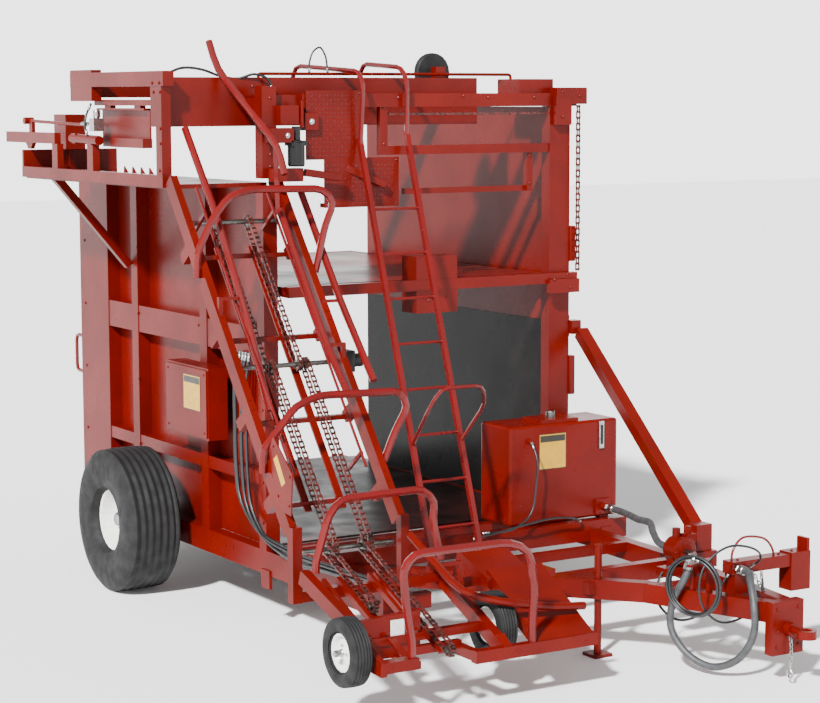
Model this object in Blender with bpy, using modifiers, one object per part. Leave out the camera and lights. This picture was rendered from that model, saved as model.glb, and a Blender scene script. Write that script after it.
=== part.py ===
"""A pull-type stacker for small hay bales, built in metres.

Seen from the tractor's side: +X is right, +Y is to the rear, +Z is up, and the tongue points to -Y.
Lengths along Y are measured from the front plane of the two stack walls, and lengths along X from the
middle of the stack chamber. SHIFT then puts the middle of the whole footprint at the origin.
"""

import math

import bmesh
import bpy
from mathutils import Matrix, Vector

SHIFT = Vector((0.147, -0.061, 0.0))
GAP = 0.0003

# Main frame and stack chamber.
HALF_WIDTH = 1.27
FACE = -HALF_WIDTH
CHAMBER_LENGTH = 3.14
BEAM_LOW = 0.365
BEAM_HIGH = 0.53
BEAM_WIDTH = 0.10
WALL_SHEET = 0.008
LEFT_WALL_TOP = 3.02
RIGHT_WALL_TOP = 3.555
RIGHT_WALL_LENGTH = 2.75
FLOOR_THICKNESS = 0.015

# Wheels.
TYRE_RADIUS = 0.53
TYRE_WIDTH = 0.42
RIM_RADIUS = 0.235
WHEEL_X = HALF_WIDTH + 0.308
AXLE_Y = 1.598
AXLE_Z = TYRE_RADIUS
STUB_RADIUS = 0.04
GAUGE_RADIUS = 0.205
GAUGE_WIDTH = 0.125
GAUGE_RIM_RADIUS = 0.118

# Table outside the left wall.
TABLE_X = FACE - 0.63
TABLE_LOW = LEFT_WALL_TOP + 0.01
TABLE_HIGH = TABLE_LOW + 0.08
TABLE_REAR = 2.64

# Elevator: two rails in planes of constant X, leaning back towards the table.
ELEVATOR_LEFT = TABLE_X
ELEVATOR_RIGHT = FACE + 0.14
RAIL_WIDTH = 0.05
RAIL_DEPTH = 0.105
RAIL_TOP = Vector((0.0, 0.10, 3.08))
RAIL_FOOT = Vector((0.0, -1.52, 0.985))
CHAIN_OFFSET = -0.07
CHAIN_RADIUS = 0.045
CHAIN_THICKNESS = 0.016
CHAIN_WIDTH = 0.036
CHAIN_LANES = (ELEVATOR_LEFT + 0.25, ELEVATOR_LEFT + 0.50)
LOWER_LANES = (ELEVATOR_LEFT + 0.30, ELEVATOR_LEFT + 0.55)
PICKUP_LANES = CHAIN_LANES
SPROCKET_CLEARANCE = 0.003
SHAFT_RADIUS = 0.016

# Bent tubes.
TUBE_RADIUS = 0.025
GUIDE_LEFT = ELEVATOR_LEFT + 0.15
GUIDE_MIDDLE = ELEVATOR_RIGHT - 0.12
GUIDE_RIGHT = ELEVATOR_RIGHT + TUBE_RADIUS * 5.2
RAIL_TUBE_RADIUS = 0.017
HOSE_RADIUS = 0.024

# Overhead frame.
TOP_BEAM_LOW = 3.556
TOP_BEAM_HIGH = 3.65
DEEP_BEAM_LOW = 3.43
DEEP_BEAM_HIGH = 3.76
COLUMN_TOP = 3.70

# Carriage that the finished tier rests on.
CARRIAGE_Z = 2.31

# Ladder on the front of the chamber.
LADDER_LEFT = -0.54
LADDER_RIGHT = -0.155
LADDER_HEAD_Y = -0.03
LADDER_HEAD_Z = 3.39
LADDER_LEAN = 0.336

# Oil tank.
TANK_LEFT = 0.41
TANK_RIGHT = HALF_WIDTH + 0.08
TANK_FRONT = -0.50
TANK_DEPTH = 0.38
TANK_LOW = 0.60
TANK_HIGH = 1.31

# Tongue.
TONGUE_LOW = 0.38
TONGUE_HIGH = 0.52
HITCH = Vector((0.777, -3.0, 0.35))
COIL_AXIS = Vector((-0.93, -0.36, 0.0))
COIL_PLACE = Vector((0.37, -2.60, 0.585))
JACK_X = 0.19
JACK_Y = -1.84

for old in list(bpy.data.objects):
    bpy.data.objects.remove(old, do_unlink=True)


def new_collection(name, hidden=False):
    made = bpy.data.collections.new(name)
    bpy.context.scene.collection.children.link(made)
    made.hide_render = hidden
    return made


STACKER = new_collection("bale_stacker")
HELPERS = new_collection("helpers", hidden=True)


def linear(channel):
    """One sRGB channel, 0 to 1, as a linear value."""
    if channel <= 0.04045:
        return channel / 12.92
    return ((channel + 0.055) / 1.055) ** 2.4


def material(name, hex_colour, roughness, metallic=0.0):
    made = bpy.data.materials.new(name)
    made.use_nodes = True
    shader = made.node_tree.nodes["Principled BSDF"]
    rgb = [linear(int(hex_colour[i:i + 2], 16) / 255) for i in (0, 2, 4)]
    shader.inputs["Base Color"].default_value = (*rgb, 1.0)
    shader.inputs["Roughness"].default_value = roughness
    shader.inputs["Metallic"].default_value = metallic
    made.diffuse_color = (*rgb, 1.0)
    return made


FINISHES = {
    "red": ("B3271A", 0.35, 0.0),
    "dark_red": ("5A0F0C", 0.4, 0.0),
    "black": ("1B1B1C", 0.5, 0.0),
    "liner": ("1D1513", 0.3, 0.0),
    "tyre": ("2B2B2D", 0.85, 0.0),
    "white": ("E8E8E6", 0.35, 0.0),
    "steel": ("B9BCC0", 0.35, 1.0),
    "chain": ("6A3A30", 0.5, 0.6),
    "hose": ("3A3B3E", 0.6, 0.0),
    "lid": ("A82418", 0.35, 0.0),
}


def node(name, mesh_object, finish):
    """Makes a mesh object one named piece of the machine with a finish of its own."""
    mesh_object.name = name
    mesh_object.data.name = name
    mesh_object.data.materials.clear()
    mesh_object.data.materials.append(material(name + "_" + finish, *FINISHES[finish]))
    for held in list(mesh_object.users_collection):
        held.objects.unlink(mesh_object)
    STACKER.objects.link(mesh_object)
    mesh_object.hide_render = False
    mesh_object.display_type = "TEXTURED"
    return mesh_object


def smooth(mesh_object, degrees=40.0):
    """Shades the round faces smooth and keeps the edges sharper than the angle."""
    for face in mesh_object.data.polygons:
        face.use_smooth = True
    mesh_object.data.set_sharp_from_angle(angle=math.radians(degrees))
    return mesh_object


def helper(build):
    """Makes a mesh object from a bmesh, kept out of the render until it becomes a piece."""
    mesh = bpy.data.meshes.new("helper")
    build.to_mesh(mesh)
    build.free()
    made = bpy.data.objects.new("helper", mesh)
    made.hide_render = True
    made.display_type = "WIRE"
    HELPERS.objects.link(made)
    return made


def box(low, high):
    """A block between two opposite corners."""
    low = Vector(low)
    high = Vector(high)
    size = high - low
    place = Matrix.Translation((low + high) / 2) @ Matrix.Diagonal((*size, 1.0))
    build = bmesh.new()
    bmesh.ops.create_cube(build, size=1.0, matrix=place)
    return helper(build)


def beam(start, end, width, height):
    """A rectangular bar: width is level and across the bar, height is at right angles to both."""
    start = Vector(start)
    end = Vector(end)
    along = (end - start).normalized()
    guide = Vector((0, 1, 0)) if abs(along.z) > 0.999 else Vector((0, 0, 1))
    across = along.cross(guide).normalized()
    upward = across.cross(along)
    turn = Matrix((across, along, upward)).transposed().to_4x4()
    size = Matrix.Diagonal((width, (end - start).length, height, 1.0))
    build = bmesh.new()
    bmesh.ops.create_cube(build, size=1.0, matrix=Matrix.Translation((start + end) / 2) @ turn @ size)
    return helper(build)


def rod(start, end, radius, sides=12):
    """A round bar with flat ends."""
    start = Vector(start)
    end = Vector(end)
    turn = Vector((0, 0, 1)).rotation_difference(end - start).to_matrix().to_4x4()
    build = bmesh.new()
    bmesh.ops.create_cone(
        build,
        cap_ends=True,
        segments=sides,
        radius1=radius,
        radius2=radius,
        depth=(end - start).length,
        matrix=Matrix.Translation((start + end) / 2) @ turn,
    )
    return helper(build)


def plate(outline, low, high, axis="x"):
    """A flat outline, in the other two axes in order, given thickness from low to high along an axis."""
    build = bmesh.new()
    rings = []
    for level in (low, high):
        ring = []
        for a, b in outline:
            if axis == "x":
                point = (level, a, b)
            elif axis == "y":
                point = (a, level, b)
            else:
                point = (a, b, level)
            ring.append(build.verts.new(point))
        rings.append(ring)
    count = len(outline)
    build.faces.new(rings[0])
    build.faces.new(rings[1])
    for i in range(count):
        j = (i + 1) % count
        build.faces.new((rings[0][i], rings[0][j], rings[1][j], rings[1][i]))
    bmesh.ops.recalc_face_normals(build, faces=build.faces)
    return helper(build)


def rounded(points, reach=0.11, steps=2):
    """The route with each inner corner replaced by a short curve that starts and ends within reach of it."""
    points = [Vector(p) for p in points]
    route = [points[0]]
    for before, corner, after in zip(points, points[1:], points[2:]):
        near = min(reach, (corner - before).length * 0.45, (after - corner).length * 0.45)
        start = corner + (before - corner).normalized() * near
        end = corner + (after - corner).normalized() * near
        for k in range(steps + 1):
            t = k / steps
            route.append(start * (1 - t) ** 2 + corner * (2 * t * (1 - t)) + end * t ** 2)
    route.append(points[-1])
    return route


def tube(points, radius, reach=0.11, steps=2, resolution=2):
    """A bent round tube along the rounded route, closed at both ends."""
    route = rounded(points, reach, steps)
    curve = bpy.data.curves.new("tube", "CURVE")
    curve.dimensions = "3D"
    curve.bevel_depth = radius
    curve.bevel_resolution = resolution
    curve.use_fill_caps = True
    spline = curve.splines.new("POLY")
    spline.points.add(len(route) - 1)
    for place, point in zip(spline.points, route):
        place.co = (*point, 1.0)
    drawn = bpy.data.objects.new("tube", curve)
    HELPERS.objects.link(drawn)
    graph = bpy.context.evaluated_depsgraph_get()
    mesh = bpy.data.meshes.new_from_object(drawn.evaluated_get(graph))
    bpy.data.objects.remove(drawn, do_unlink=True)
    build = bmesh.new()
    build.from_mesh(mesh)
    bmesh.ops.remove_doubles(build, verts=build.verts, dist=0.00005)
    bmesh.ops.recalc_face_normals(build, faces=build.faces)
    bpy.data.meshes.remove(mesh)
    return helper(build)


def applied(piece):
    """Replaces a piece's mesh with the result of its modifiers."""
    graph = bpy.context.evaluated_depsgraph_get()
    mesh = bpy.data.meshes.new_from_object(piece.evaluated_get(graph))
    piece.modifiers.clear()
    piece.data = mesh
    return piece


def gathered(name, pieces):
    """Puts helper pieces in a hidden collection of their own, for a Boolean."""
    held = new_collection(name, hidden=True)
    for piece in pieces:
        HELPERS.objects.unlink(piece)
        held.objects.link(piece)
    return held


def joined(name, pieces, finish, cutters=()):
    """Pieces that overlap, united into one solid, with the cutters then taken away."""
    whole = pieces[0]
    weld = whole.modifiers.new("weld", "BOOLEAN")
    weld.operation = "UNION"
    weld.solver = "EXACT"
    weld.operand_type = "COLLECTION"
    weld.collection = gathered(name + "_pieces", pieces[1:])
    for cutter in cutters:
        cut = whole.modifiers.new("cut", "BOOLEAN")
        cut.operation = "DIFFERENCE"
        cut.solver = "EXACT"
        cut.object = cutter
    node(name, smooth(applied(whole)), finish)
    whole.data.name = name
    return whole


def turned(name, profile, place, axis, finish, steps=24):
    """A profile of (radius, height) turned about an axis through the place, top of its outer side first."""
    build = bmesh.new()
    ring = [build.verts.new((radius, 0.0, height)) for radius, height in profile]
    closed = profile[0][0] > 0.0
    for a, b in zip(ring, ring[1:]):
        build.edges.new((a, b))
    if closed:
        build.edges.new((ring[-1], ring[0]))
    made = helper(build)
    spin = made.modifiers.new("turn", "SCREW")
    spin.angle = math.tau
    spin.steps = steps
    spin.render_steps = steps
    spin.use_merge_vertices = True
    spin.merge_threshold = 0.00005
    spin.use_normal_calculate = False
    graph = bpy.context.evaluated_depsgraph_get()
    mesh = bpy.data.meshes.new_from_object(made.evaluated_get(graph))
    made.modifiers.clear()
    build = bmesh.new()
    build.from_mesh(mesh)
    bmesh.ops.remove_doubles(build, verts=build.verts, dist=0.00005)
    bmesh.ops.recalc_face_normals(build, faces=build.faces)
    turn = Vector((0, 0, 1)).rotation_difference(Vector(axis)).to_matrix().to_4x4()
    build.transform(turn)
    build.to_mesh(made.data)
    build.free()
    bpy.data.meshes.remove(mesh)
    made.location = place
    node(name, made, finish)
    return smooth(made, 30.0)


def set_origin(piece, place):
    """Moves a piece's origin onto its joint axis and leaves its shape where it is."""
    place = Vector(place)
    piece.data.transform(Matrix.Translation(piece.location - place))
    piece.location = place


# ---------------------------------------------------------------- elevator geometry

SLOPE = (RAIL_TOP - RAIL_FOOT).normalized()
OUTWARD = Vector((0.0, -SLOPE.z, SLOPE.y))


def on_rail(y, x=0.0, offset=0.0):
    """A point of the rail's middle line at y, moved out of the slope by an offset."""
    height = RAIL_FOOT.z + (y - RAIL_FOOT.y) * SLOPE.z / SLOPE.y
    return Vector((x, y, height)) + OUTWARD * offset


HEAD = on_rail(-0.085, offset=CHAIN_OFFSET)
MIDDLE = on_rail(-0.775, offset=CHAIN_OFFSET)
FOOT = on_rail(-1.585, offset=CHAIN_OFFSET)
NOSE = Vector((0.0, -2.54, 0.41))
SHORT_NOSE = FOOT + (NOSE - FOOT) * 0.55


def at(x, place):
    return Vector((x, place.y, place.z))


def chain_loop(name, x, start, end):
    """A flat band in the shape of a running track round two sprockets."""
    along = (end - start).normalized()
    side = Vector((0.0, -along.z, along.y))
    build = bmesh.new()
    rings = []
    for radius in (CHAIN_RADIUS, CHAIN_RADIUS - CHAIN_THICKNESS):
        for edge in (x - CHAIN_WIDTH / 2, x + CHAIN_WIDTH / 2):
            ring = []
            for centre, first in ((end, 1.0), (start, -1.0)):
                for k in range(7):
                    turn = math.pi * k / 6
                    arm = side * math.cos(turn) * first + along * math.sin(turn) * first
                    point = centre + arm * radius
                    ring.append(build.verts.new((edge, point.y, point.z)))
            rings.append(ring)
    count = len(rings[0])
    for a, b in ((0, 1), (1, 3), (3, 2), (2, 0)):
        for i in range(count):
            j = (i + 1) % count
            build.faces.new((rings[a][i], rings[a][j], rings[b][j], rings[b][i]))
    bmesh.ops.recalc_face_normals(build, faces=build.faces)
    return node(name, helper(build), "chain")


def sprocket_shaft(name, centre, x_low, x_high, sprockets):
    """A round shaft with a toothless sprocket disc in each lane."""
    radius = CHAIN_RADIUS - CHAIN_THICKNESS - SPROCKET_CLEARANCE
    pieces = [rod(at(x_low, centre), at(x_high, centre), SHAFT_RADIUS)]
    for x in sprockets:
        pieces.append(rod(at(x - 0.011, centre), at(x + 0.011, centre), radius, 16))
    made = joined(name, pieces, "steel")
    set_origin(made, at(0.0, centre))
    return made


# ---------------------------------------------------------------- fixed frame

def build_base_frame():
    inner = HALF_WIDTH - BEAM_WIDTH
    rear = CHAMBER_LENGTH
    pieces = [
        box((-HALF_WIDTH, -1.56, BEAM_LOW), (-inner, rear, BEAM_HIGH)),
        box((inner, -0.56, BEAM_LOW), (HALF_WIDTH, rear, BEAM_HIGH)),
        box((-inner - 0.02, 0.0, 0.37), (inner + 0.02, 0.10, 0.525)),
        box((-inner - 0.02, AXLE_Y - 0.08, 0.39), (inner + 0.02, AXLE_Y + 0.08, 0.524)),
        box((-inner - 0.02, rear - 0.11, 0.371), (inner + 0.02, rear - 0.01, 0.523)),
        box((-inner - 0.02, -0.55, 0.44), (HALF_WIDTH + 0.13, -0.45, 0.585)),
        box((-inner - 0.02, -1.54, 0.40), (FACE + 0.37, -1.47, 0.50)),
        box((-HALF_WIDTH - 0.012, -0.06, 0.27), (-HALF_WIDTH + 0.012, 0.06, 0.40)),
    ]
    for side in (-1, 1):
        reach = sorted((side * (HALF_WIDTH - 0.02), side * (HALF_WIDTH + 0.05)))
        pieces.append(box((reach[0], AXLE_Y - 0.15, 0.40), (reach[1], AXLE_Y + 0.15, 0.66)))
        start = (side * HALF_WIDTH, AXLE_Y, AXLE_Z)
        end = (side * (WHEEL_X + 0.10), AXLE_Y, AXLE_Z)
        pieces.append(rod(start, end, STUB_RADIUS, 16))
    joined("base_frame", pieces, "red")


def wall_rib(side, y_low, y_high, top):
    low, high = sorted((side * (HALF_WIDTH - 0.108), side * HALF_WIDTH))
    return box((low, y_low, BEAM_HIGH + GAP), (high, y_high, top))


def wall_channel(side, y_low, y_high, z_low, z_high):
    low, high = sorted((side * (HALF_WIDTH - 0.107), side * (HALF_WIDTH - 0.005)))
    return box((low, y_low, z_low), (high, y_high, z_high))


def build_walls():
    sheet = HALF_WIDTH - 0.11
    foot = BEAM_HIGH + GAP
    left = [
        box((-sheet - WALL_SHEET, 0.004, foot), (-sheet, CHAMBER_LENGTH - 0.004, LEFT_WALL_TOP - 0.004)),
        wall_rib(-1, 0.0, 0.10, LEFT_WALL_TOP),
        wall_rib(-1, 0.88, 0.99, LEFT_WALL_TOP),
        wall_rib(-1, 2.05, 2.16, LEFT_WALL_TOP),
        wall_rib(-1, 2.60, CHAMBER_LENGTH, LEFT_WALL_TOP),
        wall_channel(-1, 0.05, CHAMBER_LENGTH - 0.05, 1.86, 2.06),
        wall_channel(-1, 0.05, CHAMBER_LENGTH - 0.05, 0.98, 1.07),
    ]
    joined("left_wall", left, "red")
    right = [
        box((sheet, 0.004, foot), (sheet + WALL_SHEET, RIGHT_WALL_LENGTH - 0.004, RIGHT_WALL_TOP - 0.004)),
        box((HALF_WIDTH - 0.18, 0.0, foot), (HALF_WIDTH, 0.10, RIGHT_WALL_TOP)),
        wall_rib(1, 1.05, 1.15, RIGHT_WALL_TOP),
        wall_rib(1, RIGHT_WALL_LENGTH - 0.10, RIGHT_WALL_LENGTH, RIGHT_WALL_TOP),
        wall_channel(1, 0.05, RIGHT_WALL_LENGTH - 0.05, 0.98, 1.07),
        wall_channel(1, 0.05, RIGHT_WALL_LENGTH - 0.05, 1.86, 2.06),
        wall_channel(1, 0.05, RIGHT_WALL_LENGTH - 0.05, 2.85, 2.95),
    ]
    joined("right_wall", right, "red")
    face = sheet - GAP
    liner = box((face - 0.006, 0.13, 0.56), (face, RIGHT_WALL_LENGTH - 0.02, 1.98))
    node("right_wall_liner", liner, "liner")
    low = (-sheet + 0.002, 0.104, BEAM_HIGH + GAP)
    high = (sheet - 0.01, CHAMBER_LENGTH, BEAM_HIGH + FLOOR_THICKNESS)
    node("chamber_floor", box(low, high), "dark_red")


def build_overhead():
    outer = HALF_WIDTH
    pieces = [
        box((FACE + 0.31, 0.0, TOP_BEAM_LOW), (outer + 0.06, 0.09, TOP_BEAM_HIGH)),
        box((TABLE_X - 0.03, 0.25, DEEP_BEAM_LOW), (0.62, 0.34, DEEP_BEAM_HIGH)),
        box((FACE + 0.07, 0.05, 3.565), (FACE + 0.37, 0.27, 3.64)),
        box((-0.34, 0.01, 3.225), (HALF_WIDTH - 0.18 - GAP, 0.06, 3.288)),
        box((-0.12, 0.06, 2.945), (HALF_WIDTH - 0.31, 0.09, 2.985)),
        box((HALF_WIDTH - 0.36, 0.03, 2.95), (HALF_WIDTH - 0.31, 0.08, 3.26)),
        box((-0.34, 0.012, 3.24), (-0.28, 0.058, 3.60)),
        box((HALF_WIDTH - 0.16, -0.05, 3.42), (HALF_WIDTH - 0.02, -0.01, RIGHT_WALL_TOP + 0.07)),
        box((HALF_WIDTH - 0.15, -0.045, 3.57), (outer + 0.12, 0.05, 3.69)),
        box((-outer, 0.0, LEFT_WALL_TOP + 0.06), (-outer + 0.11, 0.10, COLUMN_TOP)),
        box((-outer + 0.01, 0.02, 3.50), (-outer + 0.11, 0.28, 3.62)),
        box((FACE + 0.11, -0.06, 3.44), (FACE + 0.25, 0.04, 3.57)),
        box((TABLE_X - 0.04, 0.12, 3.70), (TABLE_X + 0.04, 1.68, 3.80)),
        box((TABLE_X - 0.038, 1.30, 3.60), (TABLE_X + 0.038, 1.68, 3.82)),
        box((TABLE_X - 0.035, 0.16, TABLE_HIGH + GAP), (TABLE_X + 0.035, 0.25, 3.75)),
        box((TABLE_X, 1.46, 3.625), (HALF_WIDTH - 0.03, 1.56, 3.72)),
        box((HALF_WIDTH - 0.17, 0.05, RIGHT_WALL_TOP + GAP), (HALF_WIDTH - 0.07, 2.70, 3.645)),
        box((HALF_WIDTH - 0.41, 0.06, 3.60), (HALF_WIDTH - 0.11, 0.34, 3.752)),
        box((0.30, 0.30, 3.70), (0.38, 0.37, 3.84)),
        rod((0.34, 0.33, 3.80), (0.34, 0.50, 3.80), 0.015),
    ]
    rail_y = 0.275
    rail_z = DEEP_BEAM_HIGH + 0.025
    rail_route = [
        (FACE + 0.12, rail_y, DEEP_BEAM_HIGH - 0.01),
        (FACE + 0.12, rail_y, rail_z),
        (HALF_WIDTH - 0.34, rail_y, rail_z),
        (HALF_WIDTH - 0.34, rail_y, 3.742),
    ]
    pieces.append(tube(rail_route, 0.011, reach=0.04))
    joined("overhead_frame", pieces, "red")
    chain = box((-0.28 + GAP, 0.020, 3.492), (HALF_WIDTH - 0.18 - GAP, 0.040, 3.520))
    node("cross_chain", chain, "chain")
    lift = box((outer + 0.022, -0.062, CARRIAGE_Z + 0.03), (outer + 0.058, -0.034, 3.57 - GAP))
    node("lift_chain", lift, "chain")


def build_table():
    low = TABLE_LOW
    high = TABLE_HIGH
    left = TABLE_X - 0.04
    pieces = [
        box((left, 0.146, low), (left + 0.06, TABLE_REAR, high)),
        box((left + 0.03, 0.147, LEFT_WALL_TOP + GAP), (-HALF_WIDTH + 0.11, TABLE_REAR - 0.01, 3.05)),
        box((left + 0.001, TABLE_REAR - 0.03, 3.04), (-HALF_WIDTH + 0.10, TABLE_REAR - 0.002, 3.235)),
        beam((TABLE_X + 0.02, 2.15, low + 0.02), (-HALF_WIDTH - 0.0235, 2.15, 2.36), 0.06, 0.06),
        box((left + 0.002, 1.30, high - 0.02), (left + 0.055, 1.40, 3.290)),
        box((left + 0.003, 1.95, high - 0.02), (left + 0.052, 2.05, 3.29 - GAP)),
    ]
    teeth = [(0.34, 3.035)]
    for k in range(6):
        y = 0.36 + 0.14 * k
        teeth.append((y, 3.085))
        teeth.append((y + 0.085, 3.145))
        teeth.append((y + 0.09, 3.085))
    teeth.append((1.20, 3.035))
    pieces.append(plate(teeth, TABLE_X + 0.13, TABLE_X + 0.14))
    joined("table_frame", pieces, "red")


def build_table_stops():
    low = TABLE_X - 0.045
    pieces = [
        box((low, 1.98, 3.29), (low + 0.05, 2.94, 3.37)),
        plate([(2.42, 3.30), (2.58, 3.30), (2.52, 3.245), (2.47, 3.245)], low + 0.01, low + 0.04),
        box((low + 0.012, 2.44, 3.35), (low + 0.038, 2.50, 3.46)),
        rod((low + 0.025, 1.46, 3.43), (low + 0.025, 2.56, 3.455), 0.012),
        rod((low - 0.012, 2.54, 3.454), (low + 0.062, 2.54, 3.454), 0.026),
    ]
    stop = joined("rear_stop", pieces, "red")
    set_origin(stop, (low + 0.025, 2.5, 3.33))
    barrel = [
        rod((low + 0.025, 1.22, 3.325), (low + 0.025, 1.70, 3.335), 0.034, 16),
        box((low + 0.001, 1.31, 3.2903), (low + 0.049, 1.39, 3.32)),
        box((low + 0.001, 1.60, 3.30), (low + 0.049, 1.66, 3.37)),
    ]
    made = joined("stop_cylinder", barrel, "red")
    set_origin(made, (low + 0.025, 1.46, 3.33))


def build_pusher():
    x = TABLE_X + 0.10
    pieces = [
        box((x - 0.006, 0.62, 3.28), (x + 0.006, 1.42, 3.55)),
        box((x - 0.05, 0.62, 3.538), (x + 0.005, 1.42, 3.552)),
        box((x - 0.07, 0.60, 3.281), (x + 0.001, 1.14, 3.345)),
        box((x - 0.04, 0.70, 3.545), (x + 0.001, 0.80, 3.60)),
        box((x - 0.04, 1.20, 3.545), (x + 0.001, 1.30, 3.60)),
        box((x - 0.05, 0.3406, 3.570), (x + 0.05, 1.4594, 3.610)),
    ]
    pusher = joined("pusher_head", pieces, "red")
    set_origin(pusher, (x, 0.9, 3.59))


def build_carriage():
    z = CARRIAGE_Z
    pieces = [
        box((FACE + 0.15, -0.080, z - 0.04), (HALF_WIDTH + 0.017, -0.012, z + 0.035)),
        box((FACE + 0.15, -0.03, z - 0.038), (FACE + 0.21, 2.85, z + 0.03)),
        box((HALF_WIDTH - 0.26, -0.03, z - 0.038), (HALF_WIDTH - 0.21, 2.85, z + 0.03)),
        box((FACE + 0.17, 2.80, z - 0.037), (HALF_WIDTH - 0.22, 2.86, z + 0.029)),
        box((FACE + 0.17, 0.10, z + 0.005), (HALF_WIDTH - 0.23, 2.83, z + 0.028)),
        box((-0.10, -0.075, z - 0.20), (0.24, 0.12, z + 0.20)),
        box((HALF_WIDTH - 0.25, -0.11, z - 0.11), (HALF_WIDTH + 0.015, -0.07, z - 0.01)),
    ]
    carriage = joined("carriage", pieces, "red")
    set_origin(carriage, (0.0, 0.0, z))


# ---------------------------------------------------------------- elevator

def build_elevator():
    deep = CHAIN_OFFSET - CHAIN_RADIUS - 0.036
    pieces = []
    for x in (ELEVATOR_LEFT, ELEVATOR_RIGHT):
        pieces.append(beam(at(x, RAIL_FOOT), at(x, RAIL_TOP), RAIL_WIDTH, RAIL_DEPTH))
    for y in (-0.22, -0.62, -1.00, -1.36):
        left = on_rail(y, ELEVATOR_LEFT - 0.02, deep)
        right = on_rail(y, ELEVATOR_RIGHT + 0.02, deep)
        pieces.append(beam(left, right, 0.056, 0.03))
        for x in (ELEVATOR_LEFT, ELEVATOR_RIGHT):
            pieces.append(beam(on_rail(y, x, 0.0), on_rail(y, x, deep - 0.01), 0.048, 0.08))
    for lane in CHAIN_LANES:
        low = on_rail(-1.40, lane, deep + 0.012)
        high = on_rail(-0.18, lane, deep + 0.012)
        pieces.append(beam(low, high, 0.05, 0.014))
    leg_low = BEAM_HIGH + 0.03
    leg_y = RAIL_FOOT.y - 0.05
    pieces += [
        box((ELEVATOR_LEFT - 0.033, leg_y - 0.035, leg_low), (ELEVATOR_LEFT + 0.033, leg_y + 0.035, 1.03)),
        box((ELEVATOR_LEFT, leg_y - 0.03, leg_low + 0.002), (FACE + 0.29, leg_y + 0.03, leg_low + 0.07)),
        box((ELEVATOR_RIGHT - 0.03, leg_y - 0.028, leg_low + 0.004),
            (ELEVATOR_RIGHT + 0.03, leg_y + 0.028, 1.03)),
        box((FACE + 0.01, -1.66, BEAM_HIGH + GAP), (FACE + 0.09, -1.50, leg_low + 0.04)),
    ]
    for tube_x, rail_x, y, height in (
        (GUIDE_LEFT, ELEVATOR_LEFT, -0.60, 2.346),
        (GUIDE_MIDDLE, ELEVATOR_RIGHT, -0.83, 2.03),
        (GUIDE_RIGHT, ELEVATOR_RIGHT, -0.57, 2.29),
    ):
        toward = math.copysign(1.0, tube_x - rail_x)
        near = tube_x - toward * (TUBE_RADIUS + 0.002)
        pieces.append(box((rail_x - 0.015, y - 0.015, on_rail(y).z),
            (rail_x + 0.015, y + 0.015, height + 0.012)))
        pieces.append(beam((rail_x, y, height), (near, y, height), 0.028, 0.02))
    corner = ELEVATOR_LEFT - RAIL_WIDTH / 2
    guard = [(-1.36, 1.56), (-1.30, 1.46), (-1.42, 1.12), (-1.58, 1.10), (-1.60, 1.36)]
    pieces.append(plate(guard, corner - 0.006, corner + 0.002))
    joined("elevator_frame", pieces, "red")
    left = ELEVATOR_LEFT + 0.07
    right = ELEVATOR_RIGHT - 0.05
    sprocket_shaft("head_shaft", HEAD, left, right, CHAIN_LANES)
    sprocket_shaft("middle_shaft", MIDDLE, left, right, CHAIN_LANES + LOWER_LANES)
    sprocket_shaft("foot_shaft", FOOT, left, right, LOWER_LANES + PICKUP_LANES)
    for side, upper, lower in zip(("left", "right"), CHAIN_LANES, LOWER_LANES):
        chain_loop("upper_chain_" + side, upper, MIDDLE, HEAD)
        chain_loop("lower_chain_" + side, lower, FOOT, MIDDLE)
    block = [
        box((ELEVATOR_RIGHT + 0.026, MIDDLE.y - 0.06, MIDDLE.z - 0.07),
            (FACE + 0.26, MIDDLE.y + 0.06, MIDDLE.z + 0.07)),
        rod(at(FACE + 0.22, MIDDLE), at(FACE + 0.34, MIDDLE), 0.045, 16),
    ]
    joined("drive_motor", block, "black")


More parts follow.
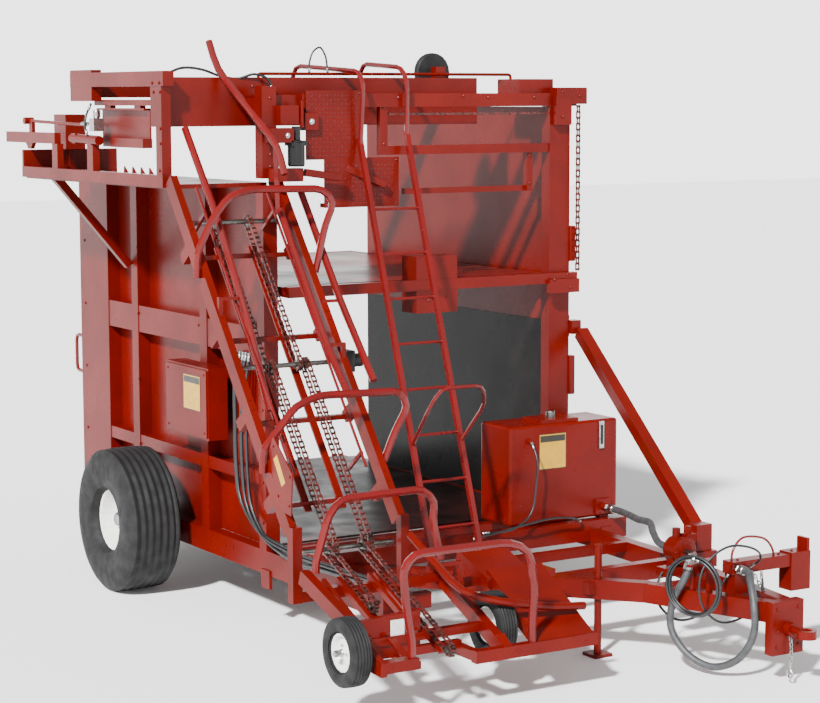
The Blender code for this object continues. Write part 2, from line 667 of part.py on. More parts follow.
def build_guides():
    outer = RAIL_WIDTH / 2 + TUBE_RADIUS + GAP
    left = ELEVATOR_LEFT - outer
    right = ELEVATOR_RIGHT + outer
    routes = {
        "upper_hoop": [
            (left, -0.375, on_rail(-0.375).z),
            (left, -0.375, 2.62),
            (FACE - 0.57, -0.375, 2.84),
            (FACE - 0.44, -0.375, 2.99),
            (FACE - 0.29, -0.375, 3.03),
            (FACE + 0.25, -0.375, 3.02),
            (FACE + 0.34, -0.375, 2.93),
            (FACE + 0.27, -0.375, 2.78),
            (right, -0.375, on_rail(-0.375).z),
        ],
        "lower_hoop": [
            (left, -1.26, on_rail(-1.26).z),
            (left, -1.26, 1.47),
            (FACE - 0.57, -1.26, 1.58),
            (FACE - 0.45, -1.26, 1.72),
            (FACE - 0.28, -1.26, 1.775),
            (FACE + 0.31, -1.26, 1.76),
            (FACE + 0.37, -1.26, 1.66),
            (FACE + 0.27, -1.26, 1.50),
            (right, -1.26, on_rail(-1.26).z),
        ],
    }
    for name, route in routes.items():
        smooth(node(name, tube(route, TUBE_RADIUS, reach=0.06), "red"))
    upper = [(FACE - 0.21, 0.36, 4.00), (FACE - 0.21, 0.24, 3.81), (FACE - 0.08, -0.06, 3.49),
        (FACE - 0.04, -0.29, 3.31), (FACE - 0.03, -0.37, 3.12)]
    lower = [(GUIDE_MIDDLE, -0.20, 2.88), (GUIDE_MIDDLE, -0.83, 2.03), (GUIDE_MIDDLE, -1.09, 1.755)]
    joint = [beam((FACE - 0.045, -0.27, 3.32), (FACE + 0.015, -0.19, 2.86), 0.03, 0.03)]
    middle = [tube(upper, TUBE_RADIUS), tube(lower, TUBE_RADIUS)] + joint
    joined("guide_tube_middle", middle, "red")
    left_route = [(GUIDE_LEFT, 0.19, 3.42), (GUIDE_LEFT, -0.26, 2.86), (GUIDE_LEFT, -0.65, 2.27),
        (GUIDE_LEFT, -0.98, 1.66)]
    smooth(node("guide_tube_left", tube(left_route, TUBE_RADIUS), "red"))
    right_route = [(GUIDE_RIGHT, -0.03, 3.0), (GUIDE_RIGHT, -0.57, 2.29), (GUIDE_RIGHT, -1.0, 1.80)]
    smooth(node("guide_tube_right", tube(right_route, TUBE_RADIUS), "red"))


# ---------------------------------------------------------------- pickup

def build_pickup():
    left = ELEVATOR_LEFT
    right = FACE + 0.29
    start_y = FOOT.y + 0.02
    start_z = 0.76
    end_y = -2.22
    end_z = 0.565
    rise = (start_z - end_z) / (start_y - end_y)

    def deck(y, x, lift=0.0):
        return Vector((x, y, start_z + (y - start_y) * rise + lift))

    def ramp(y, x, lift=0.0):
        slope = (FOOT.z - NOSE.z) / (FOOT.y - NOSE.y)
        return Vector((x, y, FOOT.z + (y - FOOT.y) * slope + lift))

    under = -CHAIN_RADIUS - 0.045
    pieces = [
        beam(deck(-1.68, left, 0.03), deck(end_y, left), 0.06, 0.09),
        beam(ramp(-1.66, right, under), ramp(-2.50, right, under), 0.06, 0.09),
        beam(ramp(-1.78, left, under), ramp(-1.78, right, under), 0.06, 0.05),
        beam(ramp(-2.26, left, under), ramp(-2.26, right, under), 0.06, 0.05),
        plate([(-2.16, 0.55), (-2.22, 0.575), (-2.64, 0.42), (-2.64, 0.34), (-2.30, 0.36)], left - 0.03,
            left + 0.01),
        beam((left - 0.02, -2.23, 0.55), (FACE - 0.15, -2.23, 0.58), 0.03, 0.04),
        beam((left, -2.26, 0.55), (left, -2.58, 0.37), 0.02, 0.02),
        box((left - 0.03, -2.64, 0.355), (PICKUP_LANES[0] - 0.022, -2.56, 0.42)),
        box((FACE + 0.07, -2.52, 0.29), (FACE + 0.96, -2.46, 0.365)),
        box((FACE + 0.07, -2.52, 0.30), (FACE + 0.13, -2.18, 0.36)),
        beam((right, -2.50, 0.335), (right, -2.42, 0.40), 0.058, 0.08),
    ]
    for x in (left + 0.10, left + 0.20, left + 0.42):
        pieces.append(beam(ramp(-1.74, x, -0.05), ramp(-2.29, x, -0.05), 0.025, 0.04))
    for lane in PICKUP_LANES:
        inner = CHAIN_RADIUS + 0.022
        pieces.append(beam(ramp(-1.70, lane, -inner), ramp(-2.46, lane, -inner), 0.05, 0.016))
    front_plate = plate([(left, 0.58), (FACE - 0.17, 0.60), (FACE - 0.17, 0.33), (left, 0.345)], -2.275,
        -2.265, "y")
    pieces += [
        front_plate,
        box((FACE - 0.36, -2.46, 0.30), (FACE - 0.28, -2.26, 0.345)),
        beam((FACE - 0.23, -2.27, 0.36), (FACE + 0.11, -2.27, 0.36), 0.05, 0.05),
        rod((left - 0.02, -2.41, 0.454), (left - 0.17, -2.41, 0.454), 0.012),
        rod((right, -2.20, 0.425), (right + 0.16, -2.20, 0.425), 0.012),
        beam((right, -2.20, 0.40), ramp(-2.20, right, under), 0.05, 0.07),
    ]
    fence = plate([(-1.90, 0.62), (-2.46, 0.30), (-2.52, 0.35), (-1.94, 0.70)], FACE + 0.53, FACE + 0.94)
    hopper = plate([(-1.60, 0.60), (-2.00, 0.60), (-2.00, 0.66), (-1.66, 0.78)], FACE + 0.49, FACE + 0.83)
    step = box((FACE + 0.55, -1.94, 0.60), (FACE + 1.05, -1.70, 0.645))
    link = box((right - 0.02, -1.92, 0.602), (FACE + 0.67, -1.86, 0.655))
    lug = box((right - 0.013, -2.013, 0.55), (right + 0.013, -1.987, 0.797))
    arm = box((FACE + 0.115, -2.012, 0.772), (right + 0.010, -1.988, 0.796))
    bar_route = [
        (FACE + 0.10, -1.72, 0.93),
        (FACE + 0.14, -2.24, 0.66),
        (FACE + 0.32, -2.38, 0.61),
        (FACE + 0.73, -2.36, 0.52),
        (FACE + 0.97, -2.36, 0.50),
    ]
    pieces += [fence, hopper, step, link, lug, arm, tube(bar_route, TUBE_RADIUS)]
    pickup = joined("pickup_frame", pieces, "red")
    set_origin(pickup, at(LOWER_LANES[0], FOOT))
    for side, lane, end in zip(("left", "right"), PICKUP_LANES, (SHORT_NOSE, NOSE)):
        chain = chain_loop("pickup_chain_" + side, lane, FOOT, end)
        set_origin(chain, at(lane, FOOT))
        sprocket_shaft(side + "_nose_shaft", end, lane - 0.032, lane + 0.032, (lane,))
    rear_route = [
        (FACE - 0.59, -1.76, deck(-1.76, 0, 0.084).z),
        (FACE - 0.59, -1.76, 0.84),
        (FACE - 0.55, -1.76, 0.96),
        (FACE - 0.5, -1.76, 1.12),
        (FACE - 0.41, -1.76, 1.21),
        (FACE + 0.17, -1.76, 1.215),
        (FACE + 0.26, -1.76, 1.13),
        (FACE + 0.24, -1.76, 1.02),
        (FACE + 0.30, -1.76, ramp(-1.76, 0, 0.005).z),
    ]
    smooth(node("pickup_hoop_rear", tube(rear_route, TUBE_RADIUS), "red"))
    front_route = [
        (FACE - 0.43, -2.60, 0.42 + GAP),
        (FACE - 0.43, -2.60, 0.52),
        (FACE - 0.46, -2.60, 0.67),
        (FACE - 0.49, -2.60, 0.94),
        (FACE - 0.41, -2.60, 1.025),
        (FACE + 0.25, -2.60, 1.02),
        (FACE + 0.4, -2.58, 0.95),
        (FACE + 0.47, -2.54, 0.75),
        (FACE + 0.49, -2.49, 0.50),
        (FACE + 0.49, -2.49, 0.365 + GAP),
    ]
    smooth(node("pickup_hoop_front", tube(front_route, TUBE_RADIUS), "red"))


# ---------------------------------------------------------------- wheels

def build_wheel(name, centre, radius, width, rim_radius, bore, side, steps):
    """A tyre and its rim: side is +1 or -1, the way the wheel's outer face looks."""
    half = width / 2
    seat = rim_radius - radius * 0.02
    outer_half = [
        (seat + GAP, half * 0.66),
        (rim_radius + radius * 0.05, half * 0.93),
        (radius * 0.76, half),
        (radius * 0.93, half * 0.90),
        (radius, half * 0.60),
    ]
    profile = outer_half + [(across, -height) for across, height in reversed(outer_half)]
    turned(name + "_tyre", profile, centre, (side, 0, 0), "tyre", steps)
    dish = half * 0.10
    rim_profile = [
        (seat, half * 0.64),
        (seat, -half * 0.62),
        (seat - 0.015, -half * 0.62),
        (seat - 0.018, dish - 0.012),
        (bore, dish - 0.012),
        (bore, dish + 0.030),
        (bore + radius * 0.12, dish + 0.020),
        (seat * 0.80, dish),
        (seat - 0.014, half * 0.60),
    ]
    turned(name + "_rim", rim_profile, centre, (side, 0, 0), "white", steps)


def build_wheels():
    for name, side in (("left_main", -1), ("right_main", 1)):
        centre = (side * WHEEL_X, AXLE_Y, AXLE_Z)
        build_wheel(name, centre, TYRE_RADIUS, TYRE_WIDTH, RIM_RADIUS, STUB_RADIUS + 0.002, side, 24)
    left = (ELEVATOR_LEFT - 0.12, -2.41, 0.454)
    build_wheel("left_gauge", left, GAUGE_RADIUS, GAUGE_WIDTH, GAUGE_RIM_RADIUS, 0.014, -1, 16)
    right = (FACE + 0.395, -2.20, 0.425)
    build_wheel("right_gauge", right, GAUGE_RADIUS, GAUGE_WIDTH, GAUGE_RIM_RADIUS, 0.014, 1, 16)
    top = [(0.018, 0.028), (0.13, 0.028), (0.14, 0.018), (0.14, -0.018), (0.13, -0.028), (0.018, -0.028)]
    turned("top_sheave", top, (0.34, 0.42, 3.80), (0, -1, 0), "tyre", 20)


# ---------------------------------------------------------------- ladder, tank, tongue

def build_ladder():
    def stile(z, x):
        return Vector((x, LADDER_HEAD_Y + (z - LADDER_HEAD_Z) * LADDER_LEAN, z))

    foot = TONGUE_HIGH + 0.012
    left = LADDER_LEFT
    right = LADDER_RIGHT
    pieces = []
    for x, top in ((LADDER_LEFT, 3.34), (LADDER_RIGHT, LADDER_HEAD_Z)):
        pieces.append(beam(stile(foot, x), stile(top, x), 0.034, 0.034))
    for k in range(8):
        z = 0.76 + 0.30 * k
        pieces.append(rod(stile(z, LADDER_LEFT), stile(z, LADDER_RIGHT), 0.011, 6))
    rails = [
        [(left, 0.94, 3.68), (left, 0.87, 3.85), (left, -0.03, 3.80), (left, -0.10, 3.72),
            stile(3.30, left)],
        [(right, 0.62, 3.75), (right, 0.56, 3.86), (right, 0.04, 3.83), (right, -0.045, 3.74),
            stile(3.36, right)],
    ]
    for route in rails:
        pieces.append(tube(route, RAIL_TUBE_RADIUS, reach=0.08))
    grab = [
        stile(1.30, left),
        (left - 0.10, -1.10, 1.60),
        (left - 0.02, -1.12, 1.73),
        (right - 0.04, -1.06, 1.72),
        (right + 0.05, -0.96, 1.58),
        stile(1.30, right),
    ]
    pieces.append(tube(grab, 0.013, reach=0.07))
    joined("ladder", pieces, "red")
    panels = [
        box((-0.94, -0.012, 3.20), (-0.505, -0.004, 3.67)),
        box((-0.80, -0.013, 2.87), (-0.205, -0.005, 3.21)),
        box((-0.93, -0.006, 3.45), (-0.89, 0.25 - GAP, 3.50)),
        box((-0.79, -0.009, 2.871), (-0.21, 0.07, 2.90)),
    ]
    joined("tread_panel", panels, "red")


def build_tank():
    rear = TANK_FRONT + TANK_DEPTH
    shell = box((TANK_LEFT, TANK_FRONT, TANK_LOW), (TANK_RIGHT, rear, TANK_HIGH))
    bevel = shell.modifiers.new("round", "BEVEL")
    bevel.width = 0.018
    bevel.segments = 2
    pieces = [
        applied(shell),
        box((0.70, TANK_FRONT + 0.03, TANK_HIGH - 0.01), (1.02, TANK_FRONT + 0.27, TANK_HIGH + 0.025)),
        box((HALF_WIDTH - 0.12, TANK_FRONT - 0.02, 0.62), (HALF_WIDTH + 0.01, TANK_FRONT + 0.03, 0.73)),
        rod((0.57, TANK_FRONT + 0.02, 1.20), (0.57, TANK_FRONT - 0.03, 1.20), 0.018, 10),
        rod((HALF_WIDTH - 0.054, TANK_FRONT, 0.672), (HALF_WIDTH - 0.054, TANK_FRONT - 0.06, 0.672),
            0.028, 12),
        box((0.46, TANK_FRONT + 0.01, 0.585 + GAP), (0.54, rear - 0.05, TANK_LOW + 0.01)),
        box((HALF_WIDTH - 0.07, TANK_FRONT + 0.01, 0.585 + GAP),
            (HALF_WIDTH + 0.01, rear - 0.05, TANK_LOW + 0.01)),
    ]
    joined("oil_tank", pieces, "red")
    cap_low = TANK_HIGH + 0.025 + GAP
    cap = [(0.0, 0.045), (0.030, 0.045), (0.034, 0.038), (0.034, 0.0), (0.0, 0.0)]
    turned("tank_cap", cap, (0.86, TANK_FRONT + 0.15, cap_low), (0, 0, 1), "steel", 16)


def build_tongue():
    low = TONGUE_LOW
    high = TONGUE_HIGH
    middle = (low + high) / 2
    tall = high - low
    front = HITCH.y + 0.05
    outer = HALF_WIDTH - 0.15
    lean = (outer - 1.06) / 1.04
    pieces = [
        beam((FACE + 0.34, -0.60, middle), (0.10, -1.74, middle), 0.09, tall - 0.01),
        beam((0.06, -1.70, middle), (0.40, -2.10, middle), 0.09, tall - 0.012),
        beam((0.37, -2.04, middle), (0.72, front, middle), 0.09, tall - 0.014),
        beam((outer, -0.553 - lean * 0.045, middle), (1.06, -1.60, middle), 0.09, tall - 0.008),
        beam((1.06, -1.56, middle), (0.83, front, middle), 0.09, tall - 0.011),
        box((0.02, -1.62, low + 0.01), (1.07, -1.54, high - 0.01)),
        box((-0.66, -1.02, 0.45), (1.08, -0.96, high - 0.004)),
        box((0.40, -2.20, low + 0.02), (0.98, -2.12, high - 0.015)),
        box((0.65, -3.02, 0.19), (0.90, -2.95, 0.525)),
        box((0.96, -1.88, high - 0.03), (1.15, -1.70, 0.60)),
        box((0.62, -2.01, high - 0.02), (1.0, -1.90, 0.555)),
        box((JACK_X - 0.10, JACK_Y - 0.035, 0.42), (JACK_X + 0.10, JACK_Y + 0.035, 0.50)),
        box((0.70, -2.60, high - 0.03), (0.86, -2.50, 0.66)),
        box((0.68, -2.60, 0.62), (1.28, -2.50, 0.70)),
        box((1.16, -2.61, 0.46), (1.32, -2.49, 0.71)),
        box((1.30, -2.60, 0.69), (1.32, -2.50, 0.79)),
        box((0.488, -2.445, high - 0.03), (0.515, -2.415, 0.75)),
        box((0.541, -2.538, high - 0.03), (0.571, -2.508, 0.730)),
        beam((0.558, -2.523, 0.7235), (0.310, -2.622, 0.7235), 0.03, 0.016),
    ]
    hole = rod((JACK_X, JACK_Y, 0.30), (JACK_X, JACK_Y, 0.60), 0.0255, 16)
    joined("tongue_frame", pieces, "red", cutters=[hole])
    leg = [
        rod((JACK_X, JACK_Y, 0.02), (JACK_X, JACK_Y, 0.74), 0.025, 16),
        box((JACK_X - 0.07, JACK_Y - 0.07, 0.0), (JACK_X + 0.07, JACK_Y + 0.07, 0.022)),
        rod((JACK_X - 0.05, JACK_Y, 0.56), (JACK_X + 0.05, JACK_Y, 0.56), 0.008, 8),
    ]
    made = joined("jack_leg", leg, "red")
    set_origin(made, (JACK_X, JACK_Y, 0.45))
    strut = [
        beam((HALF_WIDTH + 0.085, -0.04, 1.89), (1.07, -1.79, 0.70), 0.085, 0.085),
        box((HALF_WIDTH + GAP, 0.01, 1.86), (HALF_WIDTH + 0.012, 0.09, 2.02)),
        box((HALF_WIDTH + 0.008, -0.03, 1.88), (HALF_WIDTH + 0.09, 0.05, 1.98)),
        box((0.99, -1.86, 0.60 + GAP), (1.12, -1.72, 0.78)),
    ]
    joined("tongue_strut", strut, "red")
    ring_y = HITCH.y - 0.02
    ring = [
        rod((HITCH.x, ring_y - GAP, HITCH.z), (HITCH.x, ring_y - 0.05, HITCH.z), 0.045, 16),
        rod((HITCH.x, ring_y - 0.04, HITCH.z), (HITCH.x, ring_y - 0.14, HITCH.z), 0.024, 12),
        rod((HITCH.x, ring_y - 0.17, HITCH.z - 0.026), (HITCH.x, ring_y - 0.17, HITCH.z + 0.026), 0.062,
            20),
    ]
    eye = rod((HITCH.x, ring_y - 0.17, HITCH.z - 0.05), (HITCH.x, ring_y - 0.17, HITCH.z + 0.05), 0.031, 16)
    made = joined("hitch_ring", ring, "red", cutters=[eye])
    set_origin(made, (HITCH.x, ring_y, HITCH.z))
    pump = [
        rod((0.76, -1.90, 0.66), (0.76, -2.01, 0.66), 0.088, 16),
        box((0.69, -1.99, 0.555 + GAP), (0.83, -1.915, 0.62)),
        rod((0.76, -1.93, 0.70), (0.76, -1.93, 0.80), 0.028, 10),
        rod((0.76, -2.0, 0.66), (0.76, -2.035, 0.66), 0.05, 16),
    ]
    joined("oil_pump", pump, "red")
    shaft = rod((0.76, -2.035 - GAP, 0.66), (0.76, -2.12, 0.66), 0.018, 12)
    made = node("pump_shaft", shaft, "steel")
    set_origin(made, (0.76, -2.05, 0.66))


def build_control_box():
    low = (-HALF_WIDTH - 0.15, 0.56, 1.23)
    high = (-HALF_WIDTH - GAP, 1.24, 1.74)
    node("control_box", box(low, high), "red")
    door_low = (low[0] - 0.012, low[1] + 0.015, low[2] + 0.015)
    door_high = (low[0] - GAP, high[1] - 0.015, high[2] - 0.015)
    door = node("control_box_door", box(door_low, door_high), "red")
    set_origin(door, (low[0] - GAP, high[1] - 0.015, 1.485))
    loop = [
        (-HALF_WIDTH + 0.05, CHAMBER_LENGTH + GAP, 1.72),
        (FACE + 0.05, CHAMBER_LENGTH + 0.22, 1.72),
        (FACE + 0.05, CHAMBER_LENGTH + 0.22, 1.43),
        (-HALF_WIDTH + 0.05, CHAMBER_LENGTH + GAP, 1.43),
    ]
    smooth(node("rear_handle", tube(loop, 0.015, reach=0.05), "red"))


def build_hoses():
    start = (1.216, TANK_FRONT - 0.06 - GAP, 0.672)
    suction = [start, (1.216, -0.72, 0.672), (1.02, -1.15, 0.71), (0.93, -1.50, 0.73),
        (0.76, -1.66, 0.66), (0.76, -1.90 + GAP, 0.66)]
    smooth(node("suction_hose", tube(suction, HOSE_RADIUS, reach=0.16, steps=4), "hose"))

    loop = [
        (0.462, -2.445, 0.72),
        (0.432, -2.47, 0.63),
        (0.387, -2.361, 0.449),
        (0.386, -2.356, 0.253),
        (0.436, -2.487, 0.093),
        (0.494, -2.636, 0.050),
        (0.565, -2.819, 0.136),
        (0.606, -2.926, 0.344),
        (0.587, -2.878, 0.526),
        (0.66, -2.80, 0.63),
        (0.72, -2.72, 0.655),
        (0.72, -2.60 - GAP, 0.655),
    ]
    smooth(node("drawbar_hose", tube(loop, HOSE_RADIUS, reach=0.16, steps=4), "hose"))
    thick = 0.036
    wound = 0.185
    ring = []
    for k in range(8):
        turn = math.tau * k / 8
        ring.append((wound + thick * math.cos(turn), thick * math.sin(turn)))
    ring.reverse()
    turned("hose_coil", ring, COIL_PLACE, COIL_AXIS, "hose", 24)
    fall = [
        (FACE - 0.048, 0.27, 1.72),
        (FACE - 0.048, 0.28, 1.08),
        (FACE - 0.048, 0.24, 0.86),
        (FACE - 0.048, 0.0, 0.64),
        (FACE - 0.048, -0.45, 0.585),
        (FACE - 0.050, -1.0, 0.59),
        (FACE - 0.045, -1.49, 0.60),
    ]
    smooth(node("wall_hoses", tube(fall, 0.045, reach=0.16, steps=4), "hose"))


build_base_frame()
build_walls()
build_overhead()
build_table()
build_table_stops()
build_pusher()
build_carriage()
build_elevator()
build_guides()
build_pickup()
build_wheels()
build_ladder()
build_tank()
build_tongue()
build_control_box()
build_hoses()

for piece in STACKER.objects:
    piece.location += SHIFT
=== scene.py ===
# %% [markdown]
# # A stacker for small hay bales
#
# The machine is a trailer. A pickup at the front left lifts bales off the ground onto two chains,
# a steep elevator carries them to a table, and a pusher loads them into a tall walled chamber.
# The welded frame, the wheels and the moving parts come from the CAD model. This script gives each
# of them its real finish and adds what a welder, a fitter and a painter would add: chain links,
# tyre treads, hoses, bolts, tread plate and labels.

import bmesh
import bpy
import numpy as np
from mathutils import Euler, Matrix, Vector
from mathutils.bvhtree import BVHTree


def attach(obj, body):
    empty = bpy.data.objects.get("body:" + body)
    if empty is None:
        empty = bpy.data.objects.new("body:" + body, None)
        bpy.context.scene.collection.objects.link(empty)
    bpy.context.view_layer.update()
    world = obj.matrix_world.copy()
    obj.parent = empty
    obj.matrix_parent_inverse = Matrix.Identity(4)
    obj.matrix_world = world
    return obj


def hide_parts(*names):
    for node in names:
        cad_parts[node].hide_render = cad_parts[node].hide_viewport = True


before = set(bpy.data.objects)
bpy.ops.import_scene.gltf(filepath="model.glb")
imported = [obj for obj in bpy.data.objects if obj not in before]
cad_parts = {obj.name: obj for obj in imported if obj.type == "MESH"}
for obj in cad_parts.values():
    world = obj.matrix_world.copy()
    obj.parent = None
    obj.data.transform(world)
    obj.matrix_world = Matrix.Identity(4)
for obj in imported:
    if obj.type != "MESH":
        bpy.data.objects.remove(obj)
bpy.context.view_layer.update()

# %% [markdown]
# ## Where things are measured from
#
# Lengths along Y start at the front plane of the two chamber walls and lengths along X at the
# chamber's middle, because that is how the frame was drawn. One offset turns them into the model's
# own coordinates. It could be typed into every number, but one named value is easier to trust.

# %% Offset and main sizes
OFFSET = np.array([0.147, -0.061, 0.0])
HALF_WIDTH = 1.27
ELEVATOR_LEFT = -1.90
ELEVATOR_RIGHT = -1.13
CHAIN_LANES = (-1.65, -1.40)
LOWER_LANES = (-1.60, -1.35)
RAIL_TOP = np.array([0.0, 0.10, 3.08])
RAIL_FOOT = np.array([0.0, -1.52, 0.985])
SLOPE = (RAIL_TOP - RAIL_FOOT) / np.linalg.norm(RAIL_TOP - RAIL_FOOT)
OUTWARD = np.array([0.0, -SLOPE[2], SLOPE[1]])
CHAIN_DEPTH = -0.07
CHAIN_PITCH_RADIUS = 0.037


def on_rail(y, x=0.0, offset=0.0):
    """A point of the elevator rail's middle line at y, moved at right angles out of the slope."""
    height = RAIL_FOOT[2] + (y - RAIL_FOOT[1]) * SLOPE[2] / SLOPE[1]
    return np.array([x, y, height]) + OUTWARD * offset


HEAD = on_rail(-0.085, offset=CHAIN_DEPTH)
MIDDLE = on_rail(-0.775, offset=CHAIN_DEPTH)
FOOT = on_rail(-1.585, offset=CHAIN_DEPTH)
NOSE = np.array([0.0, -2.54, 0.41])
SHORT_NOSE = FOOT + (NOSE - FOOT) * 0.55

# %% [markdown]
# ## The camera
#
# A long lens from well to the front left keeps the upright beams nearly parallel. The camera could
# be aimed with a Track To constraint, but plain angles are exact and easy to read: the yaw from +Y
# towards +X, the pitch below the horizon, and a trace of roll.

# %% Camera
YAW, PITCH, ROLL = np.radians([31.579, 6.668, -0.144])
lens = bpy.data.cameras.new("camera")
lens.sensor_width = 36.0
lens.lens = 95.36
lens.clip_end = 200.0
camera = bpy.data.objects.new("camera", lens)
bpy.context.scene.collection.objects.link(camera)
camera.location = (-7.953, -13.061, 3.62)
aim = Euler((np.pi / 2 - PITCH, 0.0, -YAW)).to_matrix() @ Matrix.Rotation(ROLL, 3, "Z")
camera.rotation_euler = aim.to_euler()
bpy.context.scene.camera = camera
print("camera at", tuple(camera.location))

# %% [markdown]
# ## Helpers for surfaces
#
# Nearly everything here is a tube, a turned shape, a block or a flat plate with an outline. Each
# helper works the points out as one array and returns them with the faces, so that many small
# parts can be put into one mesh. That keeps the outliner short and every part in its real place.


# %% Surface helpers
def wall_faces(rings, sides):
    """Quads between each ring of points and the next: corner k of ring r joins corner k+1 of ring r+1."""
    ring, side = np.meshgrid(np.arange(rings - 1), np.arange(sides), indexing="ij")
    after = (side + 1) % sides
    quads = np.stack([ring * sides + side, ring * sides + after, (ring + 1) * sides + after,
        (ring + 1) * sides + side], -1)
    return quads.reshape(-1, 4).tolist()


def capped(points):
    """A closed skin from rings of points (rings, sides, 3), with one flat face over each end."""
    rings, sides = points.shape[:2]
    faces = wall_faces(rings, sides)
    first = list(range(sides))[::-1]
    last = list(range((rings - 1) * sides, rings * sides))
    return points.reshape(-1, 3), faces + [first, last]


def frames_along(path):
    """Two directions across a path at each point, turned as little as possible from one to the next."""
    along = np.gradient(path, axis=0)
    along /= np.linalg.norm(along, axis=1)[:, None]
    guide = np.array([0.0, 0.0, 1.0]) if abs(along[0, 2]) < 0.9 else np.array([1.0, 0.0, 0.0])
    across = np.empty_like(path)
    for k, way in enumerate(along):
        guide = guide - way * (guide @ way)
        guide /= np.linalg.norm(guide)
        across[k] = guide
    return across, np.cross(along, across)


def tube(path, radius, sides=10):
    """Circles of the radius, one number or one for each point, round every point of a path."""
    path = np.asarray(path, float)
    first, second = frames_along(path)
    radius = np.broadcast_to(radius, len(path))[:, None, None]
    turn = np.linspace(0, 2 * np.pi, sides, endpoint=False)[None, :, None]
    circle = first[:, None] * np.cos(turn) + second[:, None] * np.sin(turn)
    return capped(path[:, None] + circle * radius)


def curve_through(knots, count):
    """A smooth curve through the knots, a cubic with the mean slope of its neighbours at each knot,
    cut at equal lengths."""
    knots = np.asarray(knots, float)
    step = np.linalg.norm(np.diff(knots, axis=0), axis=1)
    at = np.concatenate([[0.0], np.cumsum(step)])
    slope = np.gradient(knots, at, axis=0)
    fine = np.linspace(0, at[-1], 60 * len(knots))
    k = np.clip(np.searchsorted(at, fine, side="right") - 1, 0, len(step) - 1)
    t = ((fine - at[k]) / step[k])[:, None]
    span = step[k][:, None]
    points = (
        (2 * t**3 - 3 * t**2 + 1) * knots[k]
        + (t**3 - 2 * t**2 + t) * span * slope[k]
        + (3 * t**2 - 2 * t**3) * knots[k + 1]
        + (t**3 - t**2) * span * slope[k + 1]
    )
    run = np.concatenate([[0.0], np.cumsum(np.linalg.norm(np.diff(points, axis=0), axis=1))])
    even = np.linspace(0, run[-1], count)
    return np.stack([np.interp(even, run, points[:, axis]) for axis in range(3)], -1)


def length_of(path):
    return float(np.linalg.norm(np.diff(path, axis=0), axis=1).sum())


def basis(axis):
    """Two directions square to an axis and to each other."""
    axis = np.asarray(axis, float) / np.linalg.norm(axis)
    guide = np.array([0.0, 0.0, 1.0]) if abs(axis[2]) < 0.9 else np.array([0.0, 1.0, 0.0])
    first = np.cross(guide, axis)
    first /= np.linalg.norm(first)
    return axis, first, np.cross(axis, first)


def turned(profile, centre, axis, steps=32):
    """A profile of (radius, distance along the axis) swept round the axis, with flat ends over its
    first and last points."""
    way, first, second = basis(axis)
    profile = np.asarray(profile, float)
    turn = np.linspace(0, 2 * np.pi, steps, endpoint=False)[None, :, None]
    circle = first * np.cos(turn) + second * np.sin(turn)
    points = np.asarray(centre) + profile[:, 1, None, None] * way + profile[:, 0, None, None] * circle
    return capped(points)


def ring_turned(profile, centre, axis, steps=48):
    """A closed profile of (radius, distance along the axis) swept round the axis: a tyre or a ring."""
    way, first, second = basis(axis)
    profile = np.asarray(profile, float)
    turn = np.linspace(0, 2 * np.pi, steps, endpoint=False)
    circle = np.cos(turn)[:, None] * first + np.sin(turn)[:, None] * second
    points = np.asarray(centre) + profile[None, :, 1, None] * way + profile[None, :, 0,
        None] * circle[:, None]
    sides = len(profile)
    rows = np.concatenate([points, points[:1]])
    faces = np.array(wall_faces(steps + 1, sides)) % (steps * sides)
    return rows[:-1].reshape(-1, 3), faces.tolist()


def prism(outline, low, high, axis=0):
    """A flat outline in the other two axes, in order, carried from low to high along one axis."""
    outline = np.asarray(outline, float)
    points = np.empty((2, len(outline), 3))
    others = [k for k in range(3) if k != axis]
    points[..., others] = outline
    points[0, :, axis] = low
    points[1, :, axis] = high
    return capped(points)


def block(low, high):
    """A block between two corners."""
    x0, y0, z0 = low
    x1, y1, z1 = high
    return prism([(y0, z0), (y1, z0), (y1, z1), (y0, z1)], x0, x1)


def bar(start, end, wide, tall):
    """A rectangular bar from start to end, wide across the level and tall across that."""
    start, end = np.asarray(start, float), np.asarray(end, float)
    way = (end - start) / np.linalg.norm(end - start)
    level = np.cross(way, (0, 0, 1)) if abs(way[2]) < 0.99 else np.array([1.0, 0.0, 0.0])
    level /= np.linalg.norm(level)
    up = np.cross(level, way)
    corners = np.array([(-1, -1), (1, -1), (1, 1), (-1, 1)]) / 2
    ring = corners[:, :1] * wide * level + corners[:, 1:] * tall * up
    return capped(np.stack([start + ring, end + ring]))


def bolt(place, axis, size=0.012):
    """A hexagon head on a washer, its flat side on the surface at the place."""
    head = turned([(size * 0.9, 0.0), (size * 0.9, size * 0.62), (size * 0.75, size * 0.75)], place,
        axis, 6)
    washer = turned([(size * 1.25, 0.0), (size * 1.25, size * 0.16)], place, axis, 12)
    return [washer, head]


